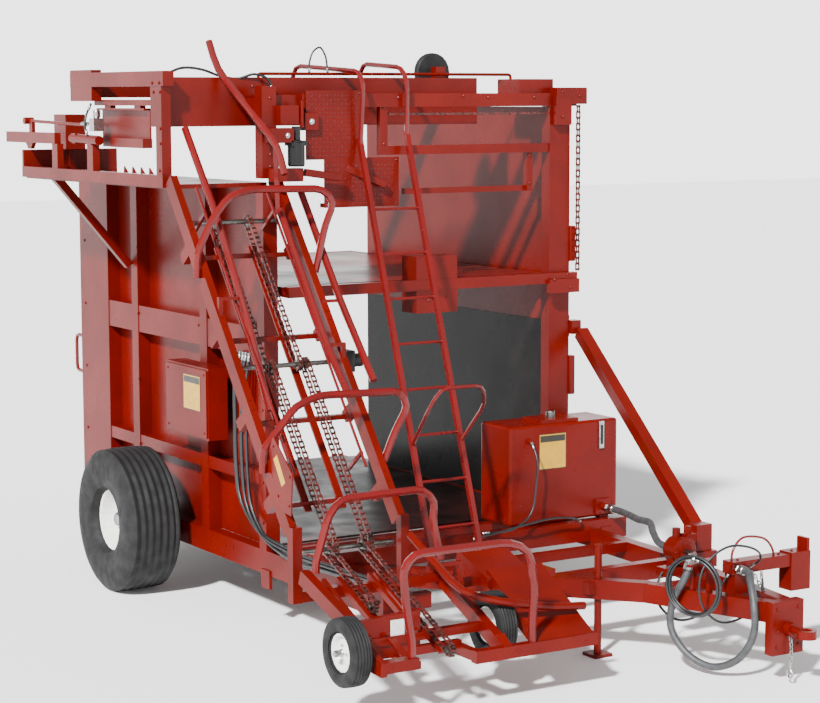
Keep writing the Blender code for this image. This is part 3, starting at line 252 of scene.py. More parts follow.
def made(name, parts, finish, body, angle=35.0, bevel=0.0):
    """One mesh object from many (points, faces) parts, closed, facing outwards, smooth below the angle."""
    points = np.concatenate([part[0] for part in parts]) + OFFSET
    counts = np.cumsum([0] + [len(part[0]) for part in parts[:-1]])
    faces = [[corner + start for corner in face] for part, start in zip(parts, counts.tolist())
        for face in part[1]]
    mesh = bpy.data.meshes.new(name)
    mesh.from_pydata(points.tolist(), [], faces)
    work = bmesh.new()
    work.from_mesh(mesh)
    bmesh.ops.recalc_face_normals(work, faces=work.faces)
    work.to_mesh(mesh)
    work.free()
    mesh.shade_smooth()
    mesh.set_sharp_from_angle(angle=np.radians(angle))
    mesh.materials.append(finish)
    piece = bpy.data.objects.new(name, mesh)
    bpy.context.scene.collection.objects.link(piece)
    if bevel:
        edge = piece.modifiers.new("edges", "BEVEL")
        edge.width = bevel
        edge.segments = 2
        edge.limit_method = "ANGLE"
        edge.angle_limit = np.radians(40)
    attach(piece, body)
    print(name, len(mesh.polygons), "faces on", body)
    return piece

# %% [markdown]
# ## Finishes
#
# Almost every steel piece is welded, primed and sprayed with one gloss red enamel. Sprayed enamel
# is never one flat colour: it is thinner on some panels, has a fine orange-peel skin and carries
# dust and scuffs. One recipe covers all the paints, with two colours that drift into each other
# over a palm's width, a fine bump and a roughness that wanders. Metals and rubbers use it too.


# %% Finish recipe
def hexa(code):
    """An sRGB hex colour as linear red, green, blue and 1."""
    channels = np.array([int(code[k:k + 2], 16) for k in (0, 2, 4)]) / 255
    low = channels / 12.92
    high = ((channels + 0.055) / 1.055) ** 2.4
    return (*np.where(channels <= 0.04045, low, high).tolist(), 1.0)


def add(tree, kind, inputs=None, **settings):
    """One node with its settings; an input is a value or another node's output to link."""
    made_node = tree.nodes.new(kind)
    for key, value in settings.items():
        setattr(made_node, key, value)
    for key, value in (inputs or {}).items():
        if isinstance(value, bpy.types.NodeSocket):
            tree.links.new(value, made_node.inputs[key])
        else:
            made_node.inputs[key].default_value = value
    return made_node


def coating(name, light, dark, patch=0.12, grain=0.002, rough=(0.25, 0.4), bump=0.1, scuff=None,
        scuffed=0.0, **shader):
    """A finish whose colour drifts between two over patches and whose skin is grainy, sizes in metres.

    scuff is a third colour that shows where a second, finer noise passes 1 - scuffed.
    """
    finish = bpy.data.materials.new(name)
    finish.use_nodes = True
    tree = finish.node_tree
    skin = tree.nodes["Principled BSDF"]
    place = add(tree, "ShaderNodeTexCoord").outputs["Object"]
    drift = add(tree, "ShaderNodeTexNoise", {"Vector": place, "Scale": 1 / patch, "Detail": 4.0,
        "Roughness": 0.55})
    spread = add(tree, "ShaderNodeMapRange", {0: drift.outputs[0], 1: 0.35, 2: 0.65})
    colour = add(tree, "ShaderNodeMix", {0: spread.outputs[0], 6: hexa(light), 7: hexa(dark)},
        data_type="RGBA").outputs[2]
    fine = add(tree, "ShaderNodeTexNoise", {"Vector": place, "Scale": 1 / grain, "Detail": 2.0})
    matt = add(tree, "ShaderNodeMapRange", {0: drift.outputs[0], 1: 0.3, 2: 0.7, 3: rough[0], 4: rough[1]})
    if scuff:
        wear = add(tree, "ShaderNodeTexNoise", {"Vector": place, "Scale": 9 / patch, "Detail": 8.0,
            "Roughness": 0.7})
        chips = add(tree, "ShaderNodeMapRange", {0: wear.outputs[0], 1: 0.74 - scuffed, 2: 0.80 - scuffed})
        colour = add(tree, "ShaderNodeMix", {0: chips.outputs[0], 6: colour, 7: hexa(scuff)},
            data_type="RGBA").outputs[2]
    skin_bump = add(tree, "ShaderNodeBump", {"Height": fine.outputs[0], "Strength": bump,
        "Distance": grain})
    tree.links.new(colour, skin.inputs["Base Color"])
    tree.links.new(matt.outputs[0], skin.inputs["Roughness"])
    tree.links.new(skin_bump.outputs[0], skin.inputs["Normal"])
    for key, value in shader.items():
        skin.inputs[key.replace("_", " ")].default_value = value
    finish.diffuse_color = hexa(light)
    return finish


# Red enamel sprayed on welded steel: a soft, even shine, and a little darker where the coat is thin.
ENAMEL = coating("red_gloss_enamel", "5E0A04", "500803", 0.5, 0.004, (0.24, 0.36), 0.06, "520A05", 0.02,
    Specular_IOR_Level=0.14)
# The same enamel on bent tube, which catches more dust and shows a paler shine.
TUBE_ENAMEL = coating("red_enamel_on_tube", "620D0D", "540A09", 0.3, 0.003, (0.2, 0.32), 0.05, "560A08",
    0.02, Specular_IOR_Level=0.35)
# Inner sheets in shade: their near black brown is painted shade; bales polish them to a sheen.
POLISHED_SHEET_IN_PAINTED_SHADE = coating("polished_sheet_painted_shade", "100908", "080505", 0.3, 0.0015, (0.2, 0.36),
    0.05, "24170F", 0.03, Specular_IOR_Level=0.1)
# Chamber floor: the red enamel darkened to deep maroon as painted shade; the grey patches are wear.
FLOOR_IN_PAINTED_SHADE = coating("floor_enamel_painted_shade", "2C0B08", "1A0806", 0.3, 0.002, (0.3, 0.5), 0.1, "4A3E37",
    0.04, Specular_IOR_Level=0.2)
# White enamel of the wheel centres.
WHITE_ENAMEL = coating("white_wheel_enamel", "E6E5E1", "CFCDC7", 0.15, 0.002, (0.25, 0.4), 0.05,
    "8A7C70", 0.02)
# Tyre rubber: matt, carbon black, greyed by dust in patches.
TYRE_RUBBER = coating("tyre_rubber", "1C1C1D", "121213", 0.08, 0.0015, (0.6, 0.8), 0.2, "302E2C", 0.05,
    Specular_IOR_Level=0.25)
# Zinc plated steel of fittings and bolts: bright, slightly yellow grey, satin.
ZINC = coating("zinc_plated_steel", "B4B5B2", "8C8E8D", 0.02, 0.0008, (0.22, 0.4), 0.1, Metallic=1.0)
# Turned shaft steel, thinly oiled.
SHAFT_STEEL = coating("turned_shaft_steel", "7E7C78", "5C5752", 0.03, 0.0008, (0.25, 0.45), 0.12,
    "5A3426", 0.05, Metallic=1.0)
# Roller chain: case-hardened links with red overspray and oil, near black between them.
CHAIN_STEEL = coating("oiled_roller_chain_with_red_overspray", "5A150D", "1C0D0B", 0.03, 0.001,
    (0.3, 0.6), 0.25, "0E0A09", 0.08, Specular_IOR_Level=0.4)
# Hose covers: smooth synthetic rubber, black on the thin hoses, grey on the thick ones.
BLACK_HOSE = coating("black_hydraulic_hose_cover", "16171A", "0E0F10", 0.05, 0.001, (0.3, 0.5), 0.12)
GREY_HOSE = coating("grey_suction_hose_cover", "3C3D3F", "2C2D2F", 0.06, 0.001, (0.4, 0.6), 0.15,
    "5A5A57", 0.02)
# Black enamel and moulded black plastic on the motor, caps and valve knobs.
BLACK_ENAMEL = coating("black_enamel", "0E0E10", "08080A", 0.05, 0.001, (0.3, 0.45), 0.1,
    Specular_IOR_Level=0.3)
# Printed vinyl labels, left blank: yellow with a black band, and white.
YELLOW_VINYL = coating("yellow_label_vinyl", "B98B00", "AC8000", 0.05, 0.001, (0.3, 0.4), 0.03)
BLACK_VINYL = coating("black_label_border", "1E1B12", "16140D", 0.05, 0.001, (0.3, 0.4), 0.03)
WHITE_VINYL = coating("white_label_vinyl", "D8D7D2", "CAC8C2", 0.05, 0.001, (0.3, 0.4), 0.03)
print("finishes", len(bpy.data.materials))

# %% [markdown]
# ## Painting the CAD pieces
#
# The frame's meshes stay as they are and only take a new finish. Names tell which: tubes that a
# hand or a bale slides along get the shinier tube enamel, the sheets inside the chamber the
# polished one made near black as painted shade, and the chamber floor a maroon painted shade.
# A list by name would work as well, but this way a renamed piece is noticed.

# %% Paint the CAD pieces
PAINTS = {
    ENAMEL: "base_frame left_wall right_wall overhead_frame table_frame rear_stop stop_cylinder "
    "pusher_head "
    "carriage elevator_frame tongue_frame tongue_strut oil_tank control_box control_box_door "
    "jack_leg oil_pump "
    "hitch_ring pickup_frame tread_panel",
    TUBE_ENAMEL: "upper_hoop lower_hoop guide_tube_left guide_tube_middle guide_tube_right ladder "
    "rear_handle "
    "pickup_hoop_front pickup_hoop_rear",
    # The liner's near black colour is painted shade.
    POLISHED_SHEET_IN_PAINTED_SHADE: "right_wall_liner",
    # The chamber floor's deep maroon is painted shade.
    FLOOR_IN_PAINTED_SHADE: "chamber_floor",
    WHITE_ENAMEL: "left_main_rim right_main_rim left_gauge_rim right_gauge_rim",
    TYRE_RUBBER: "left_main_tyre right_main_tyre left_gauge_tyre right_gauge_tyre top_sheave",
    SHAFT_STEEL: "head_shaft middle_shaft foot_shaft left_nose_shaft right_nose_shaft pump_shaft tank_cap",
    BLACK_ENAMEL: "drive_motor",
    CHAIN_STEEL: "upper_chain_left upper_chain_right lower_chain_left lower_chain_right pickup_chain_left "
    "pickup_chain_right cross_chain lift_chain",
    GREY_HOSE: "suction_hose drawbar_hose",
    BLACK_HOSE: "wall_hoses hose_coil",
}
painted = 0
for finish, names in PAINTS.items():
    for name in names.split():
        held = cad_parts[name].data.materials
        held.clear()
        held.append(finish)
        painted += 1
print("painted", painted, "of", len(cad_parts))

# %% [markdown]
# ## Hoses
#
# A hydraulic hose is a fixed length of rubber with wire in its wall, so it keeps wide bends. Each
# free one is a tube along one smooth curve, and its length is printed. A curve object would
# do, but a mesh tube can have the ribs of a suction hose.


# %% Hoses
def hose(name, knots, diameter, finish, count=40, ribs=0.0, pitch=0.012,
        with_pieces=(), stands_for=(), body="machine"):
    """A tube along a smooth curve through the knots; ribs add a wave to its radius, radius = r + ribs
    * cos."""
    points = curve_through(knots, count)
    long = length_of(points)
    drawn = points
    radius = diameter / 2
    if ribs:
        drawn = curve_through(knots, int(long / pitch * 4))
        radius = diameter / 2 + ribs * np.cos(np.arange(len(drawn)) * np.pi / 2)
    piece = made(name, [tube(drawn, radius, 14)], finish, body, 60.0)
    if stands_for:
        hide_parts(*stands_for)
    print(name, "length", round(long, 3))
    return piece


def fitting(path_end, path_next, radius, finish=ZINC, long=0.07):
    """A crimped hose end: a ferrule, a waist and a hexagon nut along the last stretch of the hose."""
    path_end = np.asarray(path_end, float)
    way = path_end - np.asarray(path_next, float)
    way /= np.linalg.norm(way)
    ferrule = turned([(radius * 1.12, -long), (radius * 1.25, -long * 0.95),
        (radius * 1.25, -long * 0.45), (radius * 0.9, -long * 0.35)], path_end, way, 16)
    nut = turned([(radius * 1.15, -long * 0.34), (radius * 1.3, -long * 0.28),
        (radius * 1.3, -long * 0.04), (radius * 1.1, 0.0)], path_end, way, 6)
    return [ferrule, nut]


suction_knots = [
    (1.216, -0.5603, 0.672),
    (1.214, -0.66, 0.672),
    (1.13, -0.93, 0.688),
    (1.02, -1.18, 0.708),
    (0.94, -1.42, 0.728),
    (0.83, -1.60, 0.70),
    (0.77, -1.74, 0.665),
    (0.76, -1.8997, 0.66),
]
suction_ends = made(
    "suction_hose_fittings",
    fitting((1.216, -0.561, 0.672), (1.216, -0.66, 0.672), 0.024, ZINC, 0.085) + fitting((0.76, -1.899,
        0.66), (0.77, -1.74, 0.665), 0.024),
    ZINC,
    "machine",
)
hose("suction_hose_cover", suction_knots, 0.048, GREY_HOSE, ribs=0.0007, with_pieces=[suction_ends],
    stands_for=["suction_hose"])

# %% [markdown]
# The thick hose from the drawbar hangs in one wide loop beside the tongue, and thin pressure hoses
# are wound up and hung on the arm in front of it, as a driver leaves them when the tractor is away.
# Five more leave the valve box, drop down the wall and run forward to the elevator.

# %% Drawbar loop, wound hoses and wall hoses
loop_knots = [
    (0.462, -2.445, 0.7197),
    (0.430, -2.445, 0.62),
    (0.392, -2.372, 0.46),
    (0.386, -2.356, 0.27),
    (0.432, -2.47, 0.115),
    (0.494, -2.636, 0.062),
    (0.560, -2.80, 0.135),
    (0.602, -2.905, 0.33),
    (0.602, -2.90, 0.49),
    (0.655, -2.80, 0.62),
    (0.716, -2.70, 0.655),
    (0.72, -2.6006, 0.655),
]
loop_ends = made(
    "drawbar_hose_fittings",
    fitting(loop_knots[0], loop_knots[1], 0.024) + fitting(loop_knots[-1], loop_knots[-2], 0.024)
    + [turned([(0.018, 0.0), (0.018, 0.03), (0.012, 0.034)], loop_knots[0], (0.25, 0.1, 0.95), 12)],
    ZINC,
    "machine",
)
hose("drawbar_hose_cover", loop_knots, 0.048, GREY_HOSE, ribs=0.0006,
    with_pieces=[loop_ends], stands_for=["drawbar_hose"])

COIL_AXIS = np.array([-0.93, -0.36, 0.0]) / np.linalg.norm([0.93, 0.36])
COIL_PLACE = np.array([0.37, -2.60, 0.585])
COIL_RADIUS = 0.185


def coil_points(turns, start, drift, wobble, count=150):
    """A coil in an upright plane: place + radius * (cos, sin) with a slow drift along the axis and a
    small wobble of the radius."""
    _, level, up = basis(COIL_AXIS)
    t = np.linspace(0, 1, count)[:, None]
    angle = start + 2 * np.pi * turns * t
    radius = COIL_RADIUS + wobble * np.sin(angle * 0.62 + start)
    along = drift * (t - 0.5)
    return COIL_PLACE + COIL_AXIS * along + level * radius * np.cos(angle) + up * radius * np.sin(angle)


THIN = 0.017
coil_turns = coil_points(4.0, np.pi / 2, 0.052, 0.008, 190)
coil_couplers = made(
    "wound_hose_couplers",
    fitting(coil_turns[0], coil_turns[3], THIN / 2, ZINC, 0.05) + fitting(coil_turns[-1],
        coil_turns[-4], THIN / 2, ZINC, 0.05),
    ZINC,
    "machine",
)
coil = made("wound_pressure_hose", [tube(coil_turns, THIN / 2, 10)], BLACK_HOSE, "machine", 60.0)
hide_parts("hose_coil")

WALL_HOSE_X = -1.318
fans = [(0.36, 0.035, 0.0), (0.315, 0.018, 0.012), (0.27, 0.0, -0.004), (0.225, -0.018, 0.014),
    (0.18, -0.036, 0.0)]
for number, (top_y, low, out) in enumerate(fans):
    x = WALL_HOSE_X - out
    knots = [
        (x + 0.028 + out, top_y, 1.885),
        (x, top_y + 0.002, 1.66),
        (x, top_y + 0.005, 1.40),
        (x, top_y - 0.005, 1.08),
        (x - 0.006, top_y - 0.06, 0.86 + low * 0.5),
        (x - 0.004, top_y - 0.27, 0.68 + low),
        (x, -0.45, 0.585 + low),
        (x - 0.002, -1.0, 0.590 + low * 0.7),
        (x + 0.003, -1.49, 0.600 + low * 0.7),
    ]
    hose(
        f"wall_hose_{number + 1}", knots, 0.021, BLACK_HOSE, count=36,
        stands_for=["wall_hoses"] if number == 2 else (),
        with_pieces=[made(f"wall_hose_{number + 1}_fitting", fitting(knots[0], knots[1], 0.0105, ZINC,
            0.06), ZINC, "machine")],
    )

# %% [markdown]
# ## Tyres and wheels
#
# Implement tyres carry straight ribs round the tread and plain, slightly bulged walls. A sculpted
# tyre could be made from a tread block repeated round the wheel, but ribs are the same all the way
# round, so one closed profile turned about the axle gives the whole tyre.


# %% Tyres
def tyre(name, body, centre, side, radius, width, seat, ribs, groove, stands_for):
    """A tyre profile turned about the axle: two bead heels, bulged walls and a crowned tread with
    square grooves."""
    half = width / 2
    across = np.linspace(0.80, -0.80, ribs * 4 + 1)
    crown = radius - 0.025 * radius * across**2
    cut = (np.arange(len(across)) % 4 >= 2) & (np.arange(len(across)) < ribs * 4 - 1)
    tread = [(r - groove * c, a * half) for r, a, c in zip(crown, across, cut)]
    wall = [
        (seat + 0.001, half * 0.66),
        (seat + 0.014, half * 0.74),
        (seat + 0.05 * radius, half * 0.90),
        (seat + 0.10 * radius, half * 0.955),
        (radius * 0.70, half * 0.995),
        (radius * 0.72, half * 1.0),
        (radius * 0.80, half * 0.99),
        (radius * 0.88, half * 0.955),
        (radius * 0.94, half * 0.89),
        (radius * 0.965, half * 0.84),
    ]
    profile = wall + tread + [(r, -h) for r, h in reversed(wall)]
    piece = made(name, [ring_turned(profile, centre, (side, 0, 0), 96)], TYRE_RUBBER, body, 40.0)
    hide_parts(stands_for)
    return piece


tyre("left_main_ribbed_tyre", "left_wheel", (-1.578, 1.598, 0.53), -1, 0.53, 0.42, 0.235 - 0.0106, 6,
    0.010, "left_main_tyre")
tyre("right_main_ribbed_tyre", "right_wheel", (1.578, 1.598, 0.53), 1, 0.53, 0.42, 0.235 - 0.0106, 6,
    0.010, "right_main_tyre")
tyre("left_gauge_ribbed_tyre", "left_gauge_wheel", (-2.02, -2.41, 0.454), -1, 0.205, 0.125,
    0.118 - 0.0041, 5, 0.005, "left_gauge_tyre")
tyre("right_gauge_ribbed_tyre", "right_gauge_wheel", (-0.875, -2.20, 0.425), 1, 0.205, 0.125,
    0.118 - 0.0041, 5, 0.005, "right_gauge_tyre")


def hub(name, body, centre, side, dish, ring, count, cap, nut):
    """A turned hub cap and wheel nuts on a ring round it, on the outer face of the wheel's dish."""
    way = np.array([side, 0.0, 0.0])
    centre = np.asarray(centre, float)
    face = centre + way * dish
    parts = [turned([(cap * 1.15, -0.004), (cap * 1.15, 0.006), (cap, 0.010), (cap, 0.045),
        (cap * 0.8, 0.056), (cap * 0.25, 0.060)], face, way, 24)]
    for turn in np.arange(count) * 2 * np.pi / count:
        place = face + ring * np.array([0.0, np.cos(turn), np.sin(turn)])
        parts += bolt(place, way, nut)
        parts.append(turned([(nut * 0.45, nut * 0.7), (nut * 0.45, nut * 1.5)], place, way, 8))
    return made(name, parts, ZINC, body)


hub("left_main_hub", "left_wheel", (-1.578, 1.598, 0.53), -1, 0.047, 0.085, 6, 0.052, 0.013)
hub("right_main_hub", "right_wheel", (1.578, 1.598, 0.53), 1, 0.047, 0.085, 6, 0.052, 0.013)
hub("left_gauge_hub", "left_gauge_wheel", (-2.02, -2.41, 0.454), -1, 0.032, 0.045, 4, 0.020, 0.007)
hub("right_gauge_hub", "right_gauge_wheel", (-0.875, -2.20, 0.425), 1, 0.032, 0.045, 4, 0.020, 0.007)

# %% [markdown]
# ## Roller chains
#
# Every bale chain is an endless roller chain: pairs of waisted side plates joined by rollers, each
# pair turned by the line of the track. Real links could be instanced along a curve, but working out
# every link's place as one array keeps them in a single mesh with a few dozen faces a link.


# %% Chains and sprockets
def track(start, end, radius, pitch):
    """Points one pitch apart round a track of two straights and two half circles, and how many
    there are."""
    start, end = start[1:], end[1:]
    along = (end - start) / np.linalg.norm(end - start)
    side = np.array([-along[1], along[0]])
    straight = np.linalg.norm(end - start)
    total = 2 * straight + 2 * np.pi * radius
    count = int(round(total / pitch / 2)) * 2
    s = np.arange(count) * total / count
    corner = np.cumsum([straight, np.pi * radius, straight])
    a = np.clip(s, 0, corner[0])
    b = np.clip(s - corner[0], 0, np.pi * radius) / radius
    c = np.clip(s - corner[1], 0, straight)
    d = np.clip(s - corner[2], 0, np.pi * radius) / radius
    turn = (b + d)[:, None]
    out = side * np.cos(turn) + along * np.sin(turn)
    centre = start + along * (a - c)[:, None]
    return centre + out * radius, count


def chain(name, lane, centres, body, stands_for, loop=True, width=0.034):
    """Links between following centres: two waisted plates each, inner and outer by turns, and a roller
    at every centre."""
    after = np.roll(centres, -1, axis=0) if loop else centres[1:]
    before = centres if loop else centres[:-1]
    way = after - before
    step = np.linalg.norm(way, axis=1)[:, None]
    way = way / step
    out = np.stack([-way[:, 1], way[:, 0]], -1)
    middle = (before + after) / 2
    count = len(before)
    shape_long = np.array([-0.74, -0.5, 0.0, 0.5, 0.74, 0.5, 0.0, -0.5])
    shape_wide = np.array([0.0, 0.24, 0.15, 0.24, 0.0, -0.24, -0.15, -0.24])
    flat = middle[:, None] + way[:, None] * (shape_long[:, None] * step[:, None]) + out[:,
        None] * (shape_wide[:, None] * step[:, None])
    inner = (np.arange(count) % 2)[:, None, None] * 0.004
    points = []
    for sign in (-1, 1):
        for level in (0.0, 0.003):
            x = lane + sign * (width / 2 - 0.004 - inner + level) * np.ones((count, 8, 1))
            points.append(np.concatenate([x, flat], -1))
    stack = np.stack(points, 1)
    sides = 8
    base = np.arange(count)[:, None] * 4 * sides
    quads = []
    for plate in (0, 2):
        k = np.arange(sides)
        n = (k + 1) % sides
        quad = np.stack([plate * sides + k, plate * sides + n, (plate + 1) * sides + n,
            (plate + 1) * sides + k], -1)
        quads.append((base[:, :, None] + quad[None]).reshape(-1, 4))
    faces = np.concatenate(quads).tolist()
    for plate in range(4):
        ring = plate * sides + np.arange(sides)
        faces += (base + ring[None]).tolist()
    plates = (stack.reshape(-1, 3), faces)
    turn = np.arange(6) * np.pi / 3
    roll = 0.21 * step.mean()
    ends = np.stack([np.cos(turn), np.sin(turn)], -1) * roll
    rings = centres[:, None, None] + ends[None, None]
    rings = np.broadcast_to(rings, (len(centres), 2, 6, 2))
    x = lane + np.array([-1, 1])[None, :, None, None] * (width / 2 - 0.002) * np.ones((len(centres), 2,
        6, 1))
    rollers = np.concatenate([x, rings], -1)
    base = np.arange(len(centres))[:, None] * 12
    k = np.arange(6)
    quad = np.stack([k, (k + 1) % 6, 6 + (k + 1) % 6, 6 + k], -1)
    roll_faces = (base[:, :, None] + quad[None]).reshape(-1, 4).tolist()
    roll_faces += (base + k[None]).tolist() + (base + 6 + k[None]).tolist()
    piece = made(name, [plates, (rollers.reshape(-1, 3), roll_faces)], CHAIN_STEEL, body, 30.0)
    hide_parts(stands_for)
    return piece


LINK_PITCH = 0.0388
runs = [
    ("upper_links_left", CHAIN_LANES[0], MIDDLE, HEAD, "machine", "upper_chain_left"),
    ("upper_links_right", CHAIN_LANES[1], MIDDLE, HEAD, "machine", "upper_chain_right"),
    ("lower_links_left", LOWER_LANES[0], FOOT, MIDDLE, "machine", "lower_chain_left"),
    ("lower_links_right", LOWER_LANES[1], FOOT, MIDDLE, "machine", "lower_chain_right"),
    ("pickup_links_left", CHAIN_LANES[0], FOOT, SHORT_NOSE, "pickup", "pickup_chain_left"),
    ("pickup_links_right", CHAIN_LANES[1], FOOT, NOSE, "pickup", "pickup_chain_right"),
]
for name, lane, start, end, body, node_name in runs:
    centres, links = track(start, end, CHAIN_PITCH_RADIUS, LINK_PITCH)
    chain(name, lane, centres, body, node_name)
straight = np.stack([np.full(29, -0.048), np.linspace(2.36, 3.555, 29)], -1)
chain("lift_chain_links", HALF_WIDTH + 0.040, straight, "machine", "lift_chain", loop=False, width=0.032)


def cross_links():
    """The cross chain runs along X, so its links are worked out along Y and turned a quarter."""
    centres = np.stack([np.linspace(-0.26, 1.07, 35), np.full(35, 3.506)], -1)
    piece = chain("cross_chain_links", 0.0, centres, "machine", "cross_chain", loop=False, width=0.022)
    points = np.array([v.co for v in piece.data.vertices]) - OFFSET
    points = np.stack([points[:, 1], 0.030 + points[:, 0], points[:, 2]], -1) + OFFSET
    piece.data.vertices.foreach_set("co", points.ravel())
    work = bmesh.new()
    work.from_mesh(piece.data)
    bmesh.ops.recalc_face_normals(work, faces=work.faces)
    work.to_mesh(piece.data)
    work.free()


cross_links()


def sprocket(lane, centre, teeth=6):
    """A toothed ring: its outline swings between root and tip radius, with flat tips."""
    turn = np.linspace(0, 2 * np.pi, teeth * 6, endpoint=False)
    step = np.arange(len(turn)) % 6
    radius = np.where((step == 2) | (step == 3), 0.044, np.where((step == 1) | (step == 4), 0.034, 0.0275))
    outline = np.stack([centre[1] + radius * np.cos(turn), centre[2] + radius * np.sin(turn)], -1)
    return prism(outline, lane - 0.008, lane + 0.008)


SPROCKET_SETS = [
    ("head_sprockets", HEAD, CHAIN_LANES, "elevator_head_shaft"),
    ("middle_sprockets", MIDDLE, CHAIN_LANES + LOWER_LANES, "elevator_middle_shaft"),
    ("foot_sprockets", FOOT, LOWER_LANES + CHAIN_LANES, "elevator_foot_shaft"),
    ("left_nose_sprocket", SHORT_NOSE, CHAIN_LANES[:1], "pickup_left_nose"),
    ("right_nose_sprocket", NOSE, CHAIN_LANES[1:], "pickup_right_nose"),
]
for name, centre, lanes, body in SPROCKET_SETS:
    made(name, [sprocket(lane, centre) for lane in lanes], SHAFT_STEEL, body)

# %% [markdown]
# ## Bolts, labels and tread plate
#
# Bolts hold the plates to the frame and blank labels mark the tank and the box. Their places come
# from a ray sent at the CAD surface, so each sits on real metal and follows its slope. Typing the
# places by hand would also work, but a bolt could then float or sink.


# %% Things set on a surface
skins = {}


def first_hit(name, start, way):
    """Where a ray from start first meets a CAD piece, and the direction its surface faces there."""
    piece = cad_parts[name]
    if name not in skins:
        corners = [piece.matrix_world @ corner.co for corner in piece.data.vertices]
        skins[name] = BVHTree.FromPolygons(corners, [tuple(face.vertices) for face in piece.data.polygons])
    place, normal, _, _ = skins[name].ray_cast(Vector((np.asarray(start) + OFFSET).tolist()),
        Vector(way).normalized())
    if place is None:
        return None
    return np.array(place) - OFFSET, np.array(normal)


def bolts(name, piece, starts, way, size, body="machine"):
    """A bolt head on the CAD piece wherever a ray from each start meets it."""
    hits = [first_hit(piece, start, way) for start in starts]
    parts = [part for hit in hits if hit for part in bolt(hit[0] - hit[1] * 0.0005, hit[1], size)]
    print(name, sum(hit is not None for hit in hits), "of", len(hits), "bolts")
    return made(name, parts, ENAMEL, body)


wall_rows = [(-2.2, y, z) for y in (0.04, 1.02, 2.05, 3.05) for z in (0.72, 1.0, 1.5, 2.0, 2.5)]
bolts("left_wall_bolts", "left_wall", wall_rows, (1, 0, 0), 0.011)
bolts("left_beam_bolts", "base_frame", [(-2.2, y, 0.47) for y in (-1.5, -1.38, -0.55, -0.43, 0.5, 0.62,
    2.9, 3.0)], (1, 0, 0), 0.012)
front_places = [(-1.21, 3.70), (-1.21, 3.62), (-1.21, 3.16), (-1.21, 3.24), (-0.98, 3.49), (1.17, 3.66),
    (1.17, 3.48), (1.32, 3.63), (0.34, 3.63)]
front_places += [(x, 3.62) for x in (-0.86, -0.2, 0.55, 0.95)] + [(0.93, 3.0), (0.93, 3.2),
    (-0.31, 3.3), (-0.31, 3.55)]
bolts("overhead_bolts", "overhead_frame", [(x, -1.0, z) for x, z in front_places], (0, 1, 0), 0.011)
bolts("overhead_side_bolts", "overhead_frame", [(-2.6, y, z) for y in (0.18, 0.29)
    for z in (3.32, 3.42, 3.66, 3.72)] + [(-2.6, 0.2, 3.14)], (1, 0, 0), 0.011)
rail_spots = [on_rail(y + shift, x, 0.4) for x in (ELEVATOR_LEFT, ELEVATOR_RIGHT)
    for y in (-0.16, -0.62, -1.0, -1.36) for shift in (0.0, 0.04)]
bolts("elevator_rail_bolts", "elevator_frame", rail_spots, -OUTWARD, 0.009)
bolts("elevator_guard_bolts", "elevator_frame", [(-2.3, y, z) for y, z in ((-1.36, 1.50), (-1.42, 1.2),
    (-1.56, 1.16), (-1.57, 1.34))], (1, 0, 0), 0.009)
bolts("tongue_bolts", "tongue_frame", [(x, -3.6, z) for x in (0.69, 0.86) for z in (0.24, 0.34, 0.48)],
    (0, 1, 0), 0.012)
bolts("crossbar_bolts", "tongue_frame", [(x, -2.55, 1.4) for x in (0.76, 0.95, 1.10, 1.21, 1.27)],
    (0, 0, -1), 0.010)
bolts("carriage_bolts", "carriage", [(x, -1.0, z) for x, z in ((0.0, 2.40), (0.15, 2.22), (0.0, 2.2),
    (1.06, 2.30), (1.20, 2.24), (1.20, 2.33))], (0, 1, 0), 0.010, "lift_carriage")
bolts("pickup_bolts", "pickup_frame", [(x, -3.2, z) for x in (-1.86, -1.5)
    for z in (0.40, 0.54)] + [(-1.35, -3.2, 0.32), (-0.4, -3.2, 0.32), (-0.9, -3.2, 0.33)], (0, 1, 0),
    0.009, "pickup")
bolts("tread_plate_bolts", "tread_panel", [(x, -1.0, z) for x, z in ((-0.92, 3.22), (-0.92, 3.65),
    (-0.525, 3.65), (-0.525, 3.26), (-0.78, 2.89), (-0.225, 2.89), (-0.225, 3.19))], (0, 1, 0), 0.008)
bolts("tank_bolts", "oil_tank", [(x, -1.6, 0.64) for x in (1.18, 1.25)] + [(x, -1.6, z)
    for x in (0.50, 1.24) for z in (0.74, 1.30)], (0, 1, 0), 0.008)
bolts("box_door_bolts", "control_box_door", [(-2.2, y, z) for y in (0.61, 1.19) for z in (1.28, 1.69)],
    (1, 0, 0), 0.008, "box_door")


def label(name, piece, start, way, wide, high, body, sheet, header=None, lean=None):
    """A thin sheet with a darker one showing as its border, and a header band across its top."""
    place, normal = first_hit(piece, start, way)
    up = np.asarray(lean, float) if lean is not None else np.array([0.0, 0.0, 1.0])
    up = up - normal * (up @ normal)
    up /= np.linalg.norm(up)
    level = np.cross(up, normal)

    def sheet_at(middle, across, tall, low, top):
        corners = np.array([(-1, -1), (1, -1), (1, 1), (-1, 1)]) / 2
        ring = middle + corners[:, :1] * across * level + corners[:, 1:] * tall * up
        return capped(np.stack([ring + normal * low, ring + normal * top]))

    made(name, [sheet_at(place, wide - 0.010, high - 0.010, 0.0006, 0.0018)], sheet, body)
    if header:
        band = sheet_at(place + up * high * 0.36, wide - 0.02, high * 0.18, 0.0012, 0.0024)
        made(name + "_border", [sheet_at(place, wide, high, -0.0004, 0.0012), band], header, body)


